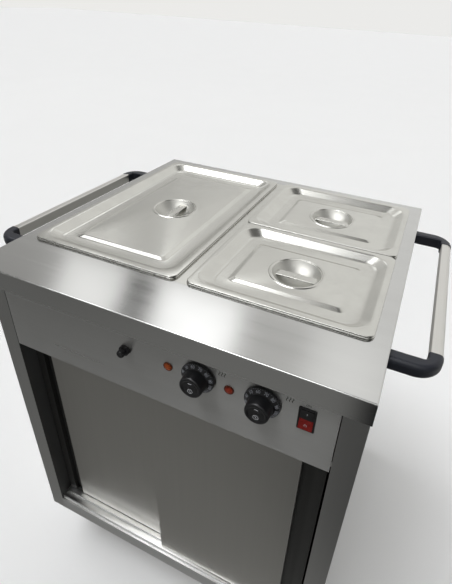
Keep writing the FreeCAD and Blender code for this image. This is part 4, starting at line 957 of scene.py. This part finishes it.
def make_reset():
    """The cut-out's knurled nut and the domed cap of its push button."""
    place = panel_place("reset_button")
    collar = [(0.0079, -0.0225), (0.0112, -0.0225), (0.0112, -0.0013), (0.0084, -0.0013),
              (0.0084, 0.0), (0.0094, 0.0), (0.0098, 0.0005), (0.0098, 0.0053),
              (0.0094, 0.0061), (0.0086, 0.0065), (0.0076, 0.0065), (0.0072, 0.0060)]
    nut = turned("reset_nut", collar, 96)
    fluted(nut, 0.0003, 0.0055, 0, 1, lambda angle: 0.030 * (0.5 + 0.5 * math.cos(24 * angle)))
    fit(on_front(smooth(nut, 35), place), "cabinet", switch_plastic, "dark_fitting", "reset_cutout")
    button = [(0.0068, -0.0115), (0.0070, -0.0110), (0.0070, 0.0135), (0.0068, 0.0148),
              (0.0062, 0.0158), (0.0052, 0.0163), (0.0046, 0.0160), (0.0030, 0.0155),
              (0.0010, 0.0153)]
    cap = on_front(smooth(turned("reset_cap", button, 72)), place)
    fit(cap, "reset_button", switch_plastic, "dark_fitting", "reset_button")


SWITCH_TILT, SWITCH_SINK = 7, 0.0030


def rocked(piece):
    """Tilt a piece to the rocker's resting angle and sink it into the frame."""
    return moved(turned_to(piece, x=-SWITCH_TILT), (0, 0, -SWITCH_SINK))


def make_switch():
    """The mains switch: a rounded frame with its rocker."""
    low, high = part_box("switch_housing")
    place = panel_place("switch_housing")
    shell = plate("switch_frame", high.x - low.x, high.z - low.z)
    round_off(0.002, 5, "VERTICES")
    bpy.ops.mesh.select_mode(type="FACE")
    pull(0.0013)
    for thickness, depth in ((0.0009, 0.0007), (0.0018, -0.0002), (0.0003, -0.0052)):
        bpy.ops.mesh.inset(thickness=thickness, depth=depth)
    on_front(softened(close(shell), 0.0002, 2, 40), place)
    fit(smooth(shell, 35), "cabinet", switch_plastic, "dark_fitting", "switch_housing")
    make_rocker(place)


def make_rocker(place):
    """The scooped rocker, red on its lower half, and its two marks."""
    half, thick, scoop = 0.0178, 0.0048, 0.0021
    blade = plate("rocker_blade", 0.0215, 2 * half)
    bpy.ops.mesh.subdivide(number_cuts=15)
    pick("FACE", lambda face: True)
    pull(thick)
    close(blade)
    for vertex in blade.data.vertices:
        reach = abs(vertex.co.y) / half
        if vertex.co.z > 0.001:
            vertex.co.z += scoop * reach ** 2
        vertex.co.y *= 1 - 0.03 * (vertex.co.z < 0.001)
    smooth(softened(blade, 0.0005, 3, 50), 40)
    on_front(rocked(blade), place)
    paint(blade, switch_plastic, rocker_red)
    for face in blade.data.polygons:
        if face.center.z < place[2] - 0.0002:
            face.material_index = 1
    fit(blade, "switch_rocker", None, "rocker_red", "switch_rocker")
    circle = ring_mark("mark_off", 0.0022, 0.0017, 40)
    dash = bar_mark("mark_on", 0.0042, 0.0007)
    for mark, up in ((circle, -0.0105), (dash, 0.0105)):
        lift = thick + 0.0001 + scoop * (up / half) ** 2
        on_front(rocked(moved(mark, (0, up, lift))), place)
        fit(mark, "switch_rocker", bright_ink, "rocker_red")


WAVE_WIDTH, WAVE_LENGTH, WAVE_SWING, WAVE_PITCH = 0.0013, 0.0088, 0.0011, 0.0046
WAVES_RIGHT, WAVES_UP = 0.0405, 0.0225
ON_SIZE, ON_UP = 0.0052, 0.0050


def make_heat_marks():
    """The printed wavy-heat signs beside the dials, and the switch's ON above it."""
    strokes = []
    for name in ("well_dial", "cupboard_dial"):
        x, y, z = panel_place(name)
        for number in range(3):
            stroke = plate("%s_wave_%d" % (name, number), WAVE_WIDTH, WAVE_LENGTH)
            bpy.ops.mesh.subdivide(number_cuts=9)
            pull(PRINT)
            close(stroke)
            for vertex in stroke.data.vertices:
                vertex.co.x += WAVE_SWING * math.sin(vertex.co.y / WAVE_LENGTH * 2 * math.pi)
            across = WAVES_RIGHT + WAVE_PITCH * (number - 1)
            strokes.append(on_front(stroke, (x + across, y, z + WAVES_UP)))
    x, y, z = panel_place("switch_housing")
    strokes.append(on_front(written("switch_on", "ON", ON_SIZE),
                            (x, y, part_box("switch_housing")[1].z + ON_UP)))
    piece = joined("panel_marks", *strokes)
    fit(piece, "cabinet", black_ink, "stainless_body")


# ---------------------------------------------------------------- castors and small fittings

WHEEL_RADIUS, WHEEL_WIDTH, HUB_WIDTH = 0.050, 0.030, 0.034


def both_sides(profile):
    """A whole profile from its upper half, which is mirrored below."""
    return [(radius, -height) for radius, height in profile] + profile[::-1]


def make_wheels():
    """The castor wheels: a rounded tyre on a dished plastic centre with ribs and a hub."""
    half = WHEEL_WIDTH / 2
    flank = [(0.0385, half - 0.002), (0.0395, half - 0.0004), (0.0410, half), (0.0450, half),
             (0.0478, half - 0.0012), (0.0494, half - 0.0040), (WHEEL_RADIUS, half - 0.0090)]
    tyre = smooth(turned("tyre", both_sides(flank), 96, True), 50)
    hub = HUB_WIDTH / 2
    web = [(0.0060, hub), (0.0105, hub), (0.0115, hub - 0.0010), (0.0120, 0.0060),
           (0.0350, 0.0050), (0.0362, half - 0.0010), (0.0388, half - 0.0010)]
    centre = smooth(turned("wheel_centre", both_sides(web), 96, True), 40)
    ribs = []
    for number in range(8):
        rib = start("rib_%d" % number, bpy.ops.mesh.primitive_cube_add, size=1)
        stretch((0.0250, 0.0024, 0.0205))
        round_off(0.0006, 2)
        moved(close(rib), (0.0240, 0, 0))
        ribs.append(smooth(turned_to(rib, z=45 * number), 40))
    web = joined("wheel_web", centre, *ribs)
    for name in ("front_left", "front_right", "rear_left", "rear_right"):
        low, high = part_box(name + "_wheel")
        place = (low + high) / 2
        rim = moved(turned_to(copied(tyre, name + "_tyre"), y=90), place)
        fit(rim, name + "_wheel", wheel_rubber, "wheel_rubber", name + "_wheel")
        fit(moved(turned_to(copied(web, name + "_wheel_centre"), y=90), place), name + "_wheel",
            wheel_plastic, "wheel_rubber")
    for spare in (tyre, web):
        bpy.data.objects.remove(spare)


def make_rivets():
    """Domed blind rivets over the plain ones of the back panel."""
    low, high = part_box("back_rivets")
    radius = 0.0035
    left, right = low.x + radius, high.x - radius
    bottom, top = low.z + radius, high.z - radius
    places = [(x, bottom + (top - bottom) * step / 4) for x in (left, right) for step in range(5)]
    places += [(left + (right - left) * step / 5, bottom) for step in range(1, 5)]
    head = ((1, 0), (1, 0.0002), (0.95, 0.0005), (0.8, 0.0009), (0.55, 0.00115), (0.3, 0.0012),
            (0.27, 0.0009), (0.1, 0.0008))
    dome = turned("rivet", [(radius * share, height) for share, height in head], 28)
    turned_to(smooth(dome, 40), x=-90)
    domes = [moved(copied(dome, "rivet_%d" % number), (x, low.y, z))
             for number, (x, z) in enumerate(places)]
    bpy.data.objects.remove(dome)
    fit(joined("rivet_domes", *domes), "cabinet", zinc, "zinc", "back_rivets")


def make_gland():
    """The cord gland: lock nut inside, six-sided body and ribbed, rounded cap outside."""
    low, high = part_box("cable_gland")
    place = ((low.x + high.x) / 2, high.y - 0.014, (low.z + high.z) / 2)
    bore = 0.0040
    sleeve = [(bore, -0.0100), (0.0069, -0.0100), (0.0069, -0.0001), (0.0090, 0.0),
              (0.0090, 0.0050), (0.0092, 0.0060), (0.0092, 0.0098), (0.0086, 0.0116),
              (0.0076, 0.0132), (0.0066, 0.0139), (0.0052, 0.0140), (bore, 0.0136)]
    cap = turned("gland_cap", sleeve, 72, bored=True)
    fluted(cap, 0.0055, 0.0105, 0.008, 1, lambda angle: 0.05 * (math.cos(12 * angle) > 0.3))
    nuts = []
    for number, (bottom, top) in enumerate(((0.0, 0.0050), (-0.0062, -0.0012))):
        flats = [(0.0105, bottom), (0.0110, bottom + 0.0005), (0.0110, top - 0.0006), (0.0104, top)]
        nuts.append(turned("gland_nut_%d" % number, flats, 6))
    gland = turned_to(joined("gland_fitting", smooth(cap, 40), *nuts), x=-90)
    fit(moved(gland, place), "cabinet", gland_plastic, "dark_fitting", "cable_gland")


# ---------------------------------------------------------------- floor and light

def make_floor():
    """A plain pale floor that runs out of sight."""
    floor = plate("floor", 60, 60)
    close(floor, outwards=False)
    finish = Finish("pale_floor", Specular_IOR_Level=0.15)
    cloud = finish.noise(finish.place(), 2, 3)
    finish.feed(Base_Color=finish.blend(cloud, (0.90, 0.90, 0.90), (0.92, 0.92, 0.92)),
                Roughness=0.7 + cloud * 0.1)
    floor.data.materials.append(finish.material)


def make_floor_card():
    """A card just over the floor that only reflections see, dark where a person would stand."""
    card = plate("floor_card", 12, 12, (0, 0, 0.004))
    close(card, outwards=False)
    finish = Finish("floor_card", Base_Color=(0, 0, 0, 1), Specular_IOR_Level=0,
                    Emission_Strength=1)
    x, y = (finish.part(finish.place(), axis) for axis in "XY")
    stood_on = finish.within(x, 0.33, 1.3, 0.08) * finish.within(y, -2.6, -0.5, 0.2)
    front = finish.spread(x, -1.2, -0.2, 0.155, 0.195)
    glow = front + finish.spread(y, -0.45, 0.2, 0, 1) * (0.50 - front)
    pale = finish.blend(glow, (0, 0, 0), (1, 1, 0.97))
    finish.feed(Emission_Color=finish.blend(stood_on, pale, (0.006, 0.006, 0.007)))
    card.data.materials.append(finish.material)
    card.visible_camera = card.visible_diffuse = card.visible_shadow = False
    card.visible_transmission = card.visible_volume_scatter = False


# Patches of the studio as seen from the trolley. Each has its left and right along X, its front
# and back as a slant of Y over Z, and how soft its sides are. Shades dim the room by a share,
# softboxes add light to it.
SHADES = (
    (-0.05, 0.60, -0.32, -0.07, 0.030, 0.85),
    (-0.13, 0.60, -0.07, 0.55, 0.050, 0.88),
    (-0.85, -0.56, 0.30, 0.80, 0.040, 0.75),
    (-0.540, -0.484, 0.80, 1.225, 0.006, 0.97),
    (-1.05, -0.655, 0.80, 1.225, 0.008, 0.15),
    (-0.285, -0.14, 0.80, 1.225, 0.020, 0.25),
)
SOFTBOXES = (
    (-0.655, -0.54, -0.40, 0.20, 0.012, 5.0),
    (-0.485, -0.285, -0.40, 0.20, 0.020, 6.5),
    (-0.285, -0.20, -0.60, 0.03, 0.030, 3.0),
    (-0.285, -0.05, -0.60, -0.125, 0.030, 4.6),
    (-0.13, 0.60, -1.40, -0.36, 0.050, 1.3),
    (-0.648, -0.540, 0.80, 1.225, 0.006, 0.85),
    (-0.475, -0.300, 0.80, 1.225, 0.018, 1.15),
    (-0.110, 0.02, 0.80, 1.225, 0.060, 0.22),
)
SLANT_SOFT, BACKDROP = 0.03, 0.84
ROOM_TONE, BOX_TONE = (1.0, 0.99, 0.955), (0.975, 0.985, 1.0)


def make_lighting():
    """A studio that reflections see: a room in two halves, with its shades and softboxes."""
    world = bpy.data.worlds.new("studio")
    bpy.context.scene.world = world
    world.use_nodes = True
    room = Weave(world.node_tree)
    outwards = room.node("TexCoord", {})
    x, y, z = (room.part(outwards, axis) for axis in "XYZ")
    slant = y / room.node("Math", {"operation": "MAXIMUM"}, z, 0.02)
    above = room.within(z, 0.02, 2, 0.02)

    def patch(left, right, front, back, soft):
        level = room.within(slant, front, back, SLANT_SOFT)
        return room.within(x, left, right, soft) * level * above

    # The half behind the trolley brightens to the right, and the half before it darkens.
    behind = room.spread(x, -0.67, -0.15, 0.50, 0.88)
    before = room.spread(x, -0.35, 0.05, 0.22, 0.08)
    light = before + (behind - before) * room.within(y, 0.12, 2, 0.12)
    for *place, share in SHADES:
        light = light * (1 - patch(*place) * share)
    for *place, glow in SOFTBOXES:
        light = light + patch(*place) * glow
    background = world.node_tree.nodes["Background"]
    seen = room.output("Is Camera Ray", "LightPath")
    tint = room.blend(light * 0.4, ROOM_TONE, BOX_TONE)
    shown = light + (BACKDROP - light) * seen
    room.tree.links.new(tint.socket, background.inputs["Color"])
    room.tree.links.new(shown.socket, background.inputs["Strength"])
    make_floor_card()


# ---------------------------------------------------------------- the whole trolley

bpy.context.scene.view_settings.view_transform = "Standard"
make_camera()
dress_nodes()
for lid_name, grip_axis in (("full_lid", 1), ("front_half_lid", 0), ("rear_half_lid", 0)):
    make_lid(lid_name)
    make_grip(lid_name, grip_axis)
for pan_name in ("full_pan", "front_half_pan", "rear_half_pan"):
    make_pan(pan_name)
make_dials()
make_lights()
make_reset()
make_switch()
make_heat_marks()
make_wheels()
make_rivets()
make_gland()
make_floor()
make_lighting()
